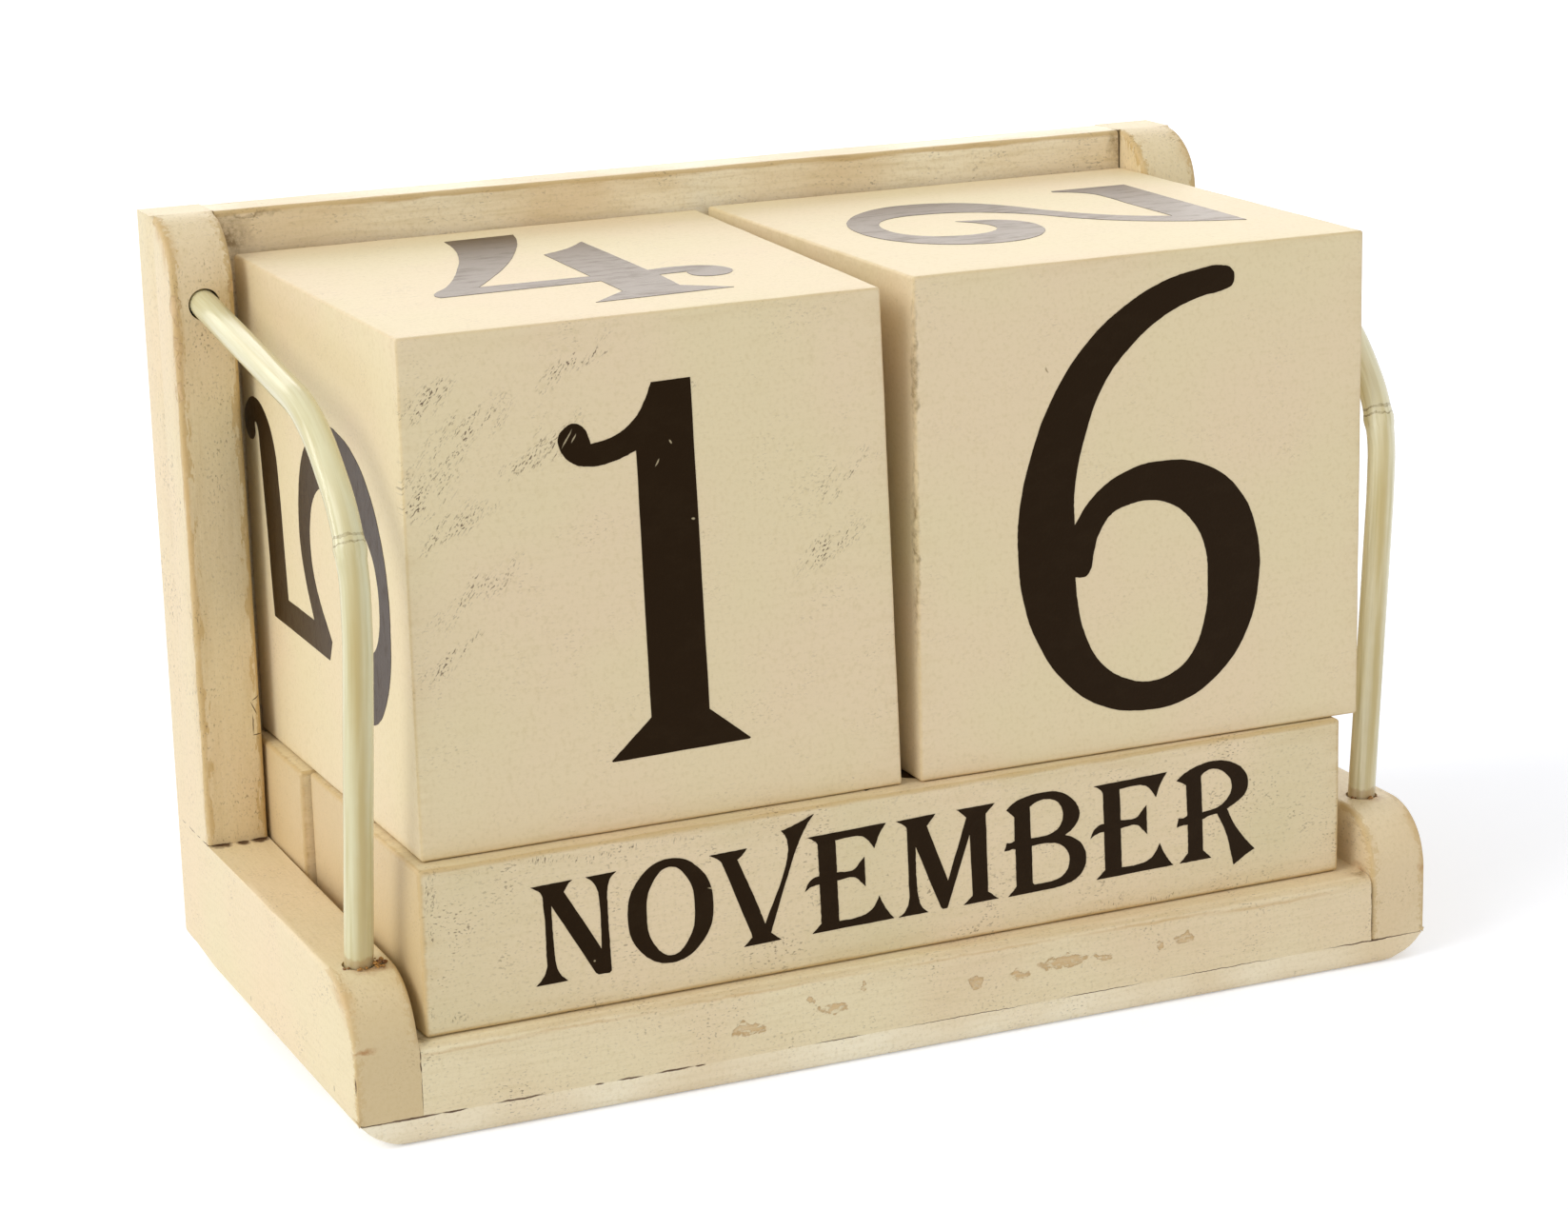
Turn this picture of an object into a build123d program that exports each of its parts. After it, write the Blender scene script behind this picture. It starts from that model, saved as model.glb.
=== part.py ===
from build123d import *

import os
from math import radians, sin

# Perpetual desk calendar, in millimetres. A painted wooden tray (base board, floor board, two arms)
# carries two posts and a back panel. Three loose month bars lie side by side on the tray floor and
# two loose number cubes stand on them. A bent cane rod guards each side, from post to arm.
# +Z is up, +Y is towards the back panel, and the origin is the middle of the underside.

# ---- loose blocks -------------------------------------------------------------------------
cube_size = 60.0  # edge of a number cube
cube_edge_ease = 0.7  # every edge of a block is rubbed off by a small chamfer
bars_under_cube = 3  # month bars side by side; their four faces each give the twelve months
bar_shortfall = 0.2  # a bar is this much under its third of the cube's edge
bar_end_play = 3.8  # how much shorter a bar is than the tray is wide
bar_edge_ease = 0.9

# ---- boards -------------------------------------------------------------------------------
base_thickness = 3.3
floor_thickness = 8.5
side_thickness = 7.8  # arms and posts, measured across the calendar
panel_thickness = 6.6
post_depth = 14.2
arm_rise = 7.5  # arm above the tray floor
post_overrun = 5.3  # posts and panel above the cubes
arm_nose_radius = 8.5
post_nose_radius = 8.0
board_edge_ease = 0.6
rail_edge_round = 1.2  # floor board's front edge, rubbed by the bars
base_end_run = 6.8  # the base board's rounded underside starts this far in from each end
base_front_round = 2.2

# ---- room left round the loose blocks -----------------------------------------------------
left_cube_room = 2.1  # left arm to left cube
cube_gap = 1.9
right_cube_room = 0.4  # right cube to right arm
cube_setback = 4.4  # cubes' front behind the tray's front edge
cube_back_room = 1.0  # cubes to the back panel
seat_gap = 0.05  # loose block to what it stands on
bar_gap = 0.25  # between neighbouring bars
left_cube_turn = 0.8  # degrees; the blocks are set down by hand, never quite square
front_bar_turn = 1.05
front_bar_ledge = 1.4  # front bar's left corner behind the tray's front edge
front_bar_end_room = 1.2  # left arm to each bar's left end
middle_bar_end_room = 1.5
rear_bar_end_room = 0.35

# ---- guard rods ---------------------------------------------------------------------------
rod_diameter = 3.4
rod_hole_clearance = 0.15  # radial
rod_hole_drop = 9.9  # rod's hole in the post, below the post's top
rod_post_depth = 8.0  # how far the rod goes into the post
rod_arm_depth = 9.0  # and into the arm
hole_end_gap = 0.3
rod_foot_setback = 9.0  # rod's foot behind the arm's front
shoulder_fall = 5.5  # shoulder bend below the hole in the post
shoulder_behind_foot = 6.6
shoulder_radius = 22.0
knee_fall = 16.8
knee_radius = 15.5
shank_fall = 28.7  # last slight bend, at the top of the straight shank
shank_radius = 36.0
left_knee_reach = 6.8  # knee and shank bends in front of the foot
left_shank_reach = 6.5
right_knee_reach = 3.7
right_shank_reach = 3.3
cane_ring_up = 60.0  # growth ring of the cane, measured along the rod from its lower end
cane_ring_swell = 0.22
cane_ring_width = 1.1
cane_ring_slope = 0.33  # each end of the ring slopes down into the rod

# ---- hidden fixings -----------------------------------------------------------------------
dowel_diameter = 4.0
dowel_length = 16.0  # half in the arm, half in the post
dowel_chamfer = 0.5
fixing_clearance = 0.05  # radial, round dowels and brads
pin_diameter = 1.4  # headless brads
pin_sunk = 0.3  # end of a brad below the face it is driven from
base_pin_length = 8.0
panel_pin_length = 16.0
arm_pin_inset = 2.0  # brads up into an arm, from its inner face
pins_per_row = 2
pin_row_inset = 14.0  # first and last brad of a row, from the ends of the board

# ---- what follows from them ---------------------------------------------------------------
bar_section = cube_size / bars_under_cube - bar_shortfall
inner_width = left_cube_room + 2 * cube_size + cube_gap + right_cube_room
overall_width = inner_width + 2 * side_thickness
overall_depth = cube_setback + cube_size + cube_back_room + panel_thickness
bar_length = inner_width - bar_end_play

front_y = -overall_depth / 2
back_y = overall_depth / 2
panel_front_y = back_y - panel_thickness
post_front_y = back_y - post_depth
arm_inner_x = inner_width / 2
arm_middle_x = arm_inner_x + side_thickness / 2

tray_z = base_thickness + floor_thickness
arm_top_z = tray_z + arm_rise
bar_z = tray_z + seat_gap
cube_z = bar_z + bar_section + seat_gap
top_z = cube_z + cube_size + post_overrun

LEFT, RIGHT = -1, 1
FROM_LOW_CORNER = (Align.MIN, Align.MIN, Align.MIN)
FROM_BELOW = (Align.CENTER, Align.CENTER, Align.MIN)


# ---- loose blocks -------------------------------------------------------------------------
def eased_block(size_x, size_y, size_z, ease, align=FROM_LOW_CORNER):
    """A sawn block with every edge eased."""
    block = Box(size_x, size_y, size_z, align=align)
    return chamfer(block.edges(), ease)


def date_cube(middle_x, turn=0.0):
    """A number cube, turned about its own middle."""
    cube = eased_block(cube_size, cube_size, cube_size, cube_edge_ease, FROM_BELOW)
    middle_y = front_y + cube_setback + cube_size / 2
    return Pos(middle_x, middle_y, cube_z) * Rot(Z=turn) * cube


def month_bar(end_room, bar_front_y, turn=0.0):
    """A month bar, placed by its left front corner and turned about it."""
    bar = eased_block(bar_length, bar_section, bar_section, bar_edge_ease)
    return Pos(-arm_inner_x + end_room, bar_front_y, bar_z) * Rot(Z=turn) * bar


# ---- guard rods ---------------------------------------------------------------------------
def rod_line(side, knee_reach, shank_reach):
    """The corners of a rod's path, in the arm's middle plane, from the post's face to the arm's."""
    foot_y = front_y + rod_foot_setback
    hole_z = top_z - rod_hole_drop
    corners = [
        (post_front_y, hole_z),
        (foot_y + shoulder_behind_foot, hole_z - shoulder_fall),
        (foot_y - knee_reach, hole_z - knee_fall),
        (foot_y - shank_reach, hole_z - shank_fall),
        (foot_y, arm_top_z),
    ]
    return [Vector(side * arm_middle_x, y, z) for y, z in corners]


def guard_rod(corners):
    """A cane bent at shoulder, knee and shank; its ends run on straight into post and arm."""
    mouth, *bends, foot = corners
    top_end = mouth + (mouth - bends[0]).normalized() * rod_post_depth
    low_end = foot + (foot - bends[-1]).normalized() * rod_arm_depth
    radii = [shank_radius, knee_radius, shoulder_radius]
    path = FilletPolyline(low_end, *reversed(bends), top_end, radius=radii)

    cane = sweep(Plane(origin=path @ 0, z_dir=path % 0) * Circle(rod_diameter / 2), path=path)
    at_ring = cane_ring_up / path.length
    ring = Cylinder(rod_diameter / 2 + cane_ring_swell, cane_ring_width)
    ring = chamfer(ring.edges().filter_by(GeomType.CIRCLE), cane_ring_slope)
    return cane + Plane(origin=path @ at_ring, z_dir=path % at_ring) * ring


def rod_hole(outside, mouth, depth):
    """A blind hole that starts at `mouth` and follows the straight run that comes from `outside`."""
    inward = (mouth - outside).normalized()
    lead = rod_diameter  # starts outside, so that a slanting hole is open all round
    length = lead + depth + hole_end_gap
    start = Plane(origin=mouth - inward * lead, z_dir=inward)
    return start * Cylinder(rod_diameter / 2 + rod_hole_clearance, length, align=FROM_BELOW)


# ---- hidden fixings -----------------------------------------------------------------------
def row(low, high):
    """Evenly spaced places along a board, the first and last at the row's inset from its ends."""
    step = (high - low - 2 * pin_row_inset) / (pins_per_row - 1)
    return [low + pin_row_inset + step * i for i in range(pins_per_row)]


def pin(length):
    """A headless brad, its driven end sunk a little below the face."""
    return Pos(Z=pin_sunk) * Cylinder(pin_diameter / 2, length, align=FROM_BELOW)


def pin_hole(length):
    radius = pin_diameter / 2 + fixing_clearance
    return Cylinder(radius, pin_sunk + length + fixing_clearance, align=FROM_BELOW)


arm_pin_x = arm_inner_x + arm_pin_inset
panel_middle_y = (panel_front_y + back_y) / 2
base_pin_places = [Pos(x, y) for x in (-arm_pin_x, 0, arm_pin_x) for y in row(front_y, back_y)]
panel_pin_places = [
    Pos(x, panel_middle_y, base_thickness) for x in row(-arm_inner_x, arm_inner_x)
]
base_pin_holes = [place * pin_hole(base_pin_length) for place in base_pin_places]
panel_pin_holes = [place * pin_hole(panel_pin_length) for place in panel_pin_places]


def dowel_place(side):
    """Middle of a post's dowel, on the joint between arm and post."""
    return Pos(side * arm_middle_x, back_y - post_depth / 2, arm_top_z)


def dowel():
    pin = Cylinder(dowel_diameter / 2, dowel_length)
    return chamfer(pin.edges().filter_by(GeomType.CIRCLE), dowel_chamfer)


def dowel_hole():
    return Cylinder(dowel_diameter / 2 + fixing_clearance, dowel_length + 2 * hole_end_gap)


# ---- boards -------------------------------------------------------------------------------
def base_board():
    """Thin board under the tray; its underside curves up at both ends and along the front."""
    half = overall_width / 2
    flat_half = half - base_end_run
    with BuildPart() as board:
        with BuildSketch(Plane.XZ.offset(-back_y)):
            with BuildLine():
                Line((-half, base_thickness), (half, base_thickness))
                TangentArc((flat_half, 0), (half, base_thickness), tangent=(1, 0))
                Line((-flat_half, 0), (flat_half, 0))
                TangentArc((-flat_half, 0), (-half, base_thickness), tangent=(-1, 0))
            make_face()
        extrude(amount=overall_depth)
        with BuildSketch(Plane.YZ):
            with Locations((0, base_thickness / 2)):
                side_view = Rectangle(overall_depth, base_thickness)
            low_front = side_view.vertices().group_by(Axis.Y)[0].sort_by(Axis.X)[0]
            fillet(low_front, base_front_round)
        extrude(amount=half, both=True, mode=Mode.INTERSECT)
    return board.part - base_pin_holes


def floor_board():
    """Thick board between the arms: its top is the tray floor, its front edge the front rail."""
    board = Pos(-arm_inner_x, front_y, base_thickness) * Box(
        inner_width, overall_depth, floor_thickness, align=FROM_LOW_CORNER
    )
    rail_edge = board.edges().filter_by(Axis.X).group_by(Axis.Z)[-1].sort_by(Axis.Y)[0]
    board = fillet(rail_edge, rail_edge_round)
    return board - base_pin_holes - panel_pin_holes


def side_board(side, low_y, low_z, high_z, nose_radius):
    """A board on edge, from `low_y` to the back, its front top corner rounded to a nose."""
    middle_x = side * arm_middle_x
    with BuildPart() as board:
        with BuildSketch(Plane.YZ.offset(middle_x)):
            with Locations(((low_y + back_y) / 2, (low_z + high_z) / 2)):
                outline = Rectangle(back_y - low_y, high_z - low_z)
            nose = outline.vertices().group_by(Axis.Y)[-1].sort_by(Axis.X)[0]
            fillet(nose, nose_radius)
        extrude(amount=side_thickness / 2, both=True)
        chamfer(top_and_front_edges(board.part, low_z), board_edge_ease)
    return board.part


def top_and_front_edges(board, low_z):
    """Edges of a side board's two faces, but for those along its foot and its back."""
    rims = board.edges().filter_by(lambda e: abs(abs(e.center().X) - arm_middle_x) > 1)
    rims = rims.filter_by(lambda e: e.center().Z > low_z + board_edge_ease)
    return rims.filter_by(lambda e: e.center().Y < back_y - board_edge_ease)


def arm(side, rod_corners):
    board = side_board(side, front_y, base_thickness, arm_top_z, arm_nose_radius)
    outside, foot = rod_corners[-2:]
    drilled = board - rod_hole(outside, foot, rod_arm_depth) - dowel_place(side) * dowel_hole()
    return drilled - base_pin_holes


def post(side, rod_corners):
    board = side_board(side, post_front_y, arm_top_z, top_z, post_nose_radius)
    mouth, outside = rod_corners[:2]
    return board - rod_hole(outside, mouth, rod_post_depth) - dowel_place(side) * dowel_hole()


def back_panel():
    """Panel between the posts, standing on the floor board, flush with the posts at the back."""
    board = Pos(-arm_inner_x, panel_front_y, tray_z) * Box(
        inner_width, panel_thickness, top_z - tray_z, align=FROM_LOW_CORNER
    )
    top_edges = board.edges().filter_by(Axis.X).group_by(Axis.Z)[-1]
    return chamfer(top_edges, board_edge_ease) - panel_pin_holes


# ---- the calendar -------------------------------------------------------------------------
left_rod_line = rod_line(LEFT, left_knee_reach, left_shank_reach)
right_rod_line = rod_line(RIGHT, right_knee_reach, right_shank_reach)

left_cube_x = -arm_inner_x + left_cube_room + cube_size / 2
right_cube_x = arm_inner_x - right_cube_room - cube_size / 2
front_bar_y = front_y + front_bar_ledge
front_bar_swing = bar_length * sin(radians(front_bar_turn))
middle_bar_y = front_bar_y + front_bar_swing + bar_section + bar_gap
rear_bar_y = middle_bar_y + bar_section + bar_gap

nodes = {
    "base_board": base_board(),
    "floor_board": floor_board(),
    "left_arm": arm(LEFT, left_rod_line),
    "right_arm": arm(RIGHT, right_rod_line),
    "left_post": post(LEFT, left_rod_line),
    "right_post": post(RIGHT, right_rod_line),
    "back_panel": back_panel(),
    "left_guard_rod": guard_rod(left_rod_line),
    "right_guard_rod": guard_rod(right_rod_line),
    "left_post_dowel": dowel_place(LEFT) * dowel(),
    "right_post_dowel": dowel_place(RIGHT) * dowel(),
    "base_brads": Compound([place * pin(base_pin_length) for place in base_pin_places]),
    "panel_brads": Compound([place * pin(panel_pin_length) for place in panel_pin_places]),
    "date_cube_left": date_cube(left_cube_x, left_cube_turn),
    "date_cube_right": date_cube(right_cube_x),
    "month_bar_front": month_bar(front_bar_end_room, front_bar_y, front_bar_turn),
    "month_bar_middle": month_bar(middle_bar_end_room, middle_bar_y),
    "month_bar_rear": month_bar(rear_bar_end_room, rear_bar_y),
}

os.makedirs("parts", exist_ok=True)
for name, piece in nodes.items():
    export_step(piece, f"parts/{name}.step")
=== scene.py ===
# %% [markdown]
# # A perpetual desk calendar in painted wood
# Two number cubes stand on three square month bars in a shallow tray with posts, a back panel
# and two bent cane rods. All of it is cut from small boards, brushed with cream emulsion paint
# and rubbed with sandpaper, so the looks are in slightly soft edges, rims that are rubbed down
# to ochre, paint that is thin in places and ink that was printed by hand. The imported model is
# loaded first, because it is the frame that every painted piece is laid on.

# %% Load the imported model
import math
import random

import bmesh
import bpy
from mathutils import Matrix, Quaternion, Vector, kdtree, noise


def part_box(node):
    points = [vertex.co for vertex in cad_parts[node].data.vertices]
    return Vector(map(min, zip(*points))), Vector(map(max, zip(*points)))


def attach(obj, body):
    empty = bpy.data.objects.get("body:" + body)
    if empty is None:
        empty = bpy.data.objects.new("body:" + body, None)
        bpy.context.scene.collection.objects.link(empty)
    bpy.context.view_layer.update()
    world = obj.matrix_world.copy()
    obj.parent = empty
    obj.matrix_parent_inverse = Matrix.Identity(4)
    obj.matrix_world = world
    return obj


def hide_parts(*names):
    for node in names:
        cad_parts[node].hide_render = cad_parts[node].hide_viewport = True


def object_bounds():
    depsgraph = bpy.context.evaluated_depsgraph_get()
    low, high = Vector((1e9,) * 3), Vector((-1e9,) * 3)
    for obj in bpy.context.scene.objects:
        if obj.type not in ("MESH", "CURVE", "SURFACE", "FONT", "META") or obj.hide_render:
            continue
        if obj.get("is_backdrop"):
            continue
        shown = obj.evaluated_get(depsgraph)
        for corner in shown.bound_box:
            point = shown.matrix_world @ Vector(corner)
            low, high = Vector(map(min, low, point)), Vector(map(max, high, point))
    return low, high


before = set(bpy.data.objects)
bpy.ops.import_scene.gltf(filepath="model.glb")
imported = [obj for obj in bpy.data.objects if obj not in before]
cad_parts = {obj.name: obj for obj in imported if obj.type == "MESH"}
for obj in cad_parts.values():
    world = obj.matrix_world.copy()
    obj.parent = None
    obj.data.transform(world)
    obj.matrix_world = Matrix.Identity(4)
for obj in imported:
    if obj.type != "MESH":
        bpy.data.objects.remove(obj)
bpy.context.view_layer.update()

MM = 0.001

# %% [markdown]
# ## Camera
# A small product shows its shape best from one side and a little above, through a long lens
# that keeps the edges of the cubes almost parallel. The camera is placed in millimetres and
# turned by three angles: round the calendar, above it, and a small roll.

# %% Camera
CAMERA_PLACE = Vector((-184.8, -425.8, 170.5)) * MM
CAMERA_ROUND, CAMERA_ABOVE, CAMERA_ROLL = (math.radians(d) for d in (-23.358, 14.972, -1.472))
CAMERA_LENS = 88.91
camera_data = bpy.data.cameras.new("camera")
camera_data.sensor_width = 36
camera_data.lens = CAMERA_LENS
camera_data.clip_start = 0.01
camera = bpy.data.objects.new("camera", camera_data)
bpy.context.scene.collection.objects.link(camera)
turn_round = Matrix.Rotation(CAMERA_ROUND, 4, "Z")
tip_down = Matrix.Rotation(math.pi / 2 - CAMERA_ABOVE, 4, "X")
camera.matrix_world = (
    Matrix.Translation(CAMERA_PLACE) @ turn_round @ tip_down @ Matrix.Rotation(CAMERA_ROLL, 4, "Z")
)
bpy.context.scene.camera = camera
print("camera at", [round(v / MM) for v in CAMERA_PLACE], "mm, lens", CAMERA_LENS)

# %% [markdown]
# ## Nodes and colours
# Paint colours are easier to choose as the hex values of a colour picker, while Blender computes
# in linear light. One function turns the first into the second, and one adds a node, sets it and
# fills its sockets with numbers or links.


# %% Colour and node helpers
def to_linear(code):
    """An sRGB hex colour as linear red, green, blue and alpha."""
    parts = [int(code[i : i + 2], 16) / 255 for i in (1, 3, 5)]
    return [c / 12.92 if c <= 0.04045 else ((c + 0.055) / 1.055) ** 2.4 for c in parts] + [1.0]


def add(tree, kind, inputs=None, out=0, **settings):
    """Adds a node, sets it, fills its sockets with values or links, and returns one output."""
    node = tree.nodes.new(kind)
    for name, value in settings.items():
        setattr(node, name, value)
    for name, value in (inputs or {}).items():
        if isinstance(value, bpy.types.NodeSocket):
            tree.links.new(value, node.inputs[name])
        else:
            node.inputs[name].default_value = value
    return node.outputs[out] if node.outputs else node


def new_material(name):
    """An empty node material and its tree."""
    material = bpy.data.materials.new(name)
    material.use_nodes = True
    material.node_tree.nodes.clear()
    return material, material.node_tree


def per_mm(size):
    """Scale of a noise whose blobs are about `size` millimetres wide."""
    return 1 / (size * MM)


# %% [markdown]
# ## Light, floor and background
# A light tent gives soft light from all sides. Here the world is that tent, and one weak sun
# with a wide disc makes left faces a little brighter than fronts. Two lights are there for the
# gloss alone, as bright windows would be: a panel behind, towards which printed ink and paint
# shine at a low angle, and a narrow strip at the far left, which draws a bright line down the
# cane rods.
# The floor is white paper. It and the tent are lifted a little for the camera and for
# reflections, which then see plain white, while the light on the object stays as it is.

# %% Light, floor and background
TENT_LEVEL = 0.73
FLOOR_LIFT = 0.3


def looked_at(tree):
    """1 for a ray of the camera, of a reflection or of glass, and 0 for a ray of light."""
    path = add(tree, "ShaderNodeLightPath").node.outputs
    seen = add(tree, "ShaderNodeMath", {0: path["Is Camera Ray"], 1: path["Is Glossy Ray"]},
        operation="MAXIMUM")
    return add(tree, "ShaderNodeMath", {0: seen, 1: path["Is Transmission Ray"]},
        operation="MAXIMUM")


world = bpy.data.worlds.new("light_tent")
bpy.context.scene.world = world
world.use_nodes = True
tent = world.node_tree
tent.nodes.clear()
level = add(tent, "ShaderNodeMapRange", {"Value": looked_at(tent), "To Min": TENT_LEVEL,
    "To Max": 1.0})
shine = add(tent, "ShaderNodeBackground", {"Color": (1, 1, 1, 1), "Strength": level})
add(tent, "ShaderNodeOutputWorld", {"Surface": shine})

bpy.ops.object.select_all(action="DESELECT")
bpy.ops.mesh.primitive_plane_add(size=8)
floor = bpy.context.object
floor.name = "paper_floor"
floor_paper, tree = new_material("white_paper")
lift = add(tree, "ShaderNodeMapRange", {"Value": looked_at(tree), "To Max": FLOOR_LIFT})
paper = add(tree, "ShaderNodeBsdfPrincipled", {"Base Color": to_linear("#F2F4FA"),
    "Roughness": 0.9, "Emission Color": (1, 1, 1, 1), "Emission Strength": lift})
add(tree, "ShaderNodeOutputMaterial", {"Surface": paper})
floor.data.materials.append(floor_paper)
floor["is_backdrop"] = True


def hang(lamp, place, towards):
    """Puts a lamp at a place and turns it to shine along a direction."""
    holder = bpy.data.objects.new(lamp.name, lamp)
    holder.location = place
    holder.rotation_euler = Vector(towards).to_track_quat("-Z", "Y").to_euler()
    bpy.context.scene.collection.objects.link(holder)
    return holder


left_lamp = bpy.data.lights.new("left_lamp", "SUN")
left_lamp.energy = 1.15
left_lamp.angle = math.radians(40)
hang(left_lamp, (0, 0, 1), (0.82, 0.1, -0.57))
gloss_panel = bpy.data.lights.new("gloss_panel", "AREA")
gloss_panel.shape = "RECTANGLE"
gloss_panel.size, gloss_panel.size_y = 1.8, 0.8
gloss_panel.energy = 9.5
gloss_panel.color = (1.0, 0.95, 0.88)
gloss_strip = bpy.data.lights.new("gloss_strip", "AREA")
gloss_strip.shape = "RECTANGLE"
gloss_strip.size, gloss_strip.size_y = 0.35, 1.1
gloss_strip.energy = 7.0
for lamp, place in [(gloss_panel, Vector((0.2, 1.3, 0.5))),
        (gloss_strip, Vector((-1.3, 0.75, 0.3)))]:
    holder = hang(lamp, place, -place)
    holder.visible_camera = False
    holder.visible_diffuse = False
bpy.context.scene.view_settings.view_transform = "Standard"

# %% [markdown]
# ## Cream emulsion paint on wood
# The paint is a thin, matte water paint brushed on whitewood and rubbed with sandpaper. It shows
# slow drifts of tone, a fine brushed mottle along each board, specks where dust or a pore broke
# the coat, and thin, broken lines along the rims where it is rubbed down to ochre and in places
# to brown wood. Rims are known to the paint by an attribute, edge_mm, the distance to the
# nearest one. All patterns are in real millimetres on object coordinates, and the heights are
# in millimetres too, so the bump is as deep as the real thing.
#
# Single flaws, such as a chip or a crack in the joint between two boards, are ovals with a
# middle and three half sizes. Their outline is made ragged by shifting the coordinates with a
# noise before the distance to the nearest oval is measured.

# %% Single flaws in the paint
FLAW_DEPTH = 1.5


def shifted(tree, place, patch, throw):
    """Places shifted about by up to `throw` millimetres, in patches of `patch` millimetres."""
    shift = add(tree, "ShaderNodeTexNoise", {"Vector": place, "Scale": per_mm(patch),
        "Detail": 3.0}, out=1)
    shift = add(tree, "ShaderNodeVectorMath", {0: shift, 1: (0.5, 0.5, 0.5)},
        operation="SUBTRACT")
    shift = add(tree, "ShaderNodeVectorMath", {0: shift, "Scale": 4 * throw * MM},
        operation="SCALE")
    return add(tree, "ShaderNodeVectorMath", {0: place, 1: shift}, operation="ADD")


def nearest_oval(tree, place, ovals):
    """How far it is to the nearest oval, 1 on its outline. An oval is middle, half sizes, turn."""
    nearest = 9.0
    for middle, half, turn in ovals:
        local = add(tree, "ShaderNodeMapping", {"Vector": place, "Location": Vector(middle) * MM,
            "Rotation": (0, -math.radians(turn), 0), "Scale": Vector(half) * MM},
            vector_type="TEXTURE")
        away = add(tree, "ShaderNodeVectorMath", {0: local}, out=1, operation="LENGTH")
        nearest = add(tree, "ShaderNodeMath", {0: away, 1: nearest}, operation="MINIMUM")
    return nearest


def on_front(y, rows, turn=0):
    """Ovals on a face that looks to the front, from rows of x, z and two half sizes."""
    return [((x, y, z), (wide, FLAW_DEPTH, tall), turn) for x, z, wide, tall in rows]


# %% [markdown]
# One function makes every cream paint. What differs from board to board are the direction of
# the grain, how far the rims are rubbed, how speckled the coat is, and the single flaws. The
# panel, the base and the right arm get a lighter cream than the other boards, which is painted
# light, and the buff on rough cut faces is partly painted shade.

# %% Paint material
PAINT, PAINT_WARM, PAINT_THIN = "#E8D7AD", "#EAD5AF", "#D3BF8C"
# The buff of rough cut faces is partly paint sunk into the edge and partly painted shade on those
# faces.
RUB_TAN, SAWN_BUFF_AND_SHADE, SCRATCH_BROWN = "#CFAE78", "#CCAF7C", "#4A2E10"
RIM_OCHRE, RIM_BROWN = "#C9AB72", "#94703F"
CHIP_TAN, CRACK_BROWN, FLECK_BROWN = "#D4B482", "#50300F", "#4E3214"
# The dirt colours also serve as painted shade in the corners and gaps where their patches sit.
STAIN_BROWN, OLIVE_DIRT_AND_SHADE, OCHRE_DIRT_AND_SHADE = "#A8702E", "#8A7044", "#A8894E"
MOTTLE_LENGTH, MOTTLE_WIDTH = 7.0, 0.5
FLECK_LENGTH, FLECK_WIDTH = 0.46, 0.24
WEAR_LENGTH, WEAR_WIDTH = 12.0, 1.3
TOOTH_SIZE, DRIFT_SIZE, CROWD_SIZE, STAIN_GRIT = 0.5, 24, 6, 0.9
OCHRE_FADE = 2.6
BRUSH_RELIEF, TOOTH_RELIEF = 0.03, 0.03
FLECK_PIT, SCRATCH_PIT, CHIP_PIT, CRACK_PIT = 0.02, 0.03, 0.07, 0.02
RAGGED_STAIN, RAGGED_RUB = (1.5, 0.5), (2.5, 0.12)
RAGGED_CHIP, RAGGED_CRACK = (1.3, 0.6), (1.4, 0.09)


def blend_in(tree, amount, below, code):
    """A colour laid over another one by an amount from 0 to 1."""
    return add(tree, "ShaderNodeMix", {0: amount, 6: below, 7: to_linear(code)}, out=2,
        data_type="RGBA")


def grained(tree, place, grain, length, width):
    """Coordinates for a noise with patches of a length along the grain and a width across it."""
    stretch = [per_mm(width)] * 3
    stretch[grain] = per_mm(length)
    return add(tree, "ShaderNodeMapping", {"Vector": place, "Scale": stretch})


ISLAND_LENGTH, ISLAND_WIDTH = 1.4, 0.6
FLAKE_LENGTH, FLAKE_WIDTH, FLAKE_REACH = 3.0, 0.7, 4.5


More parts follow.
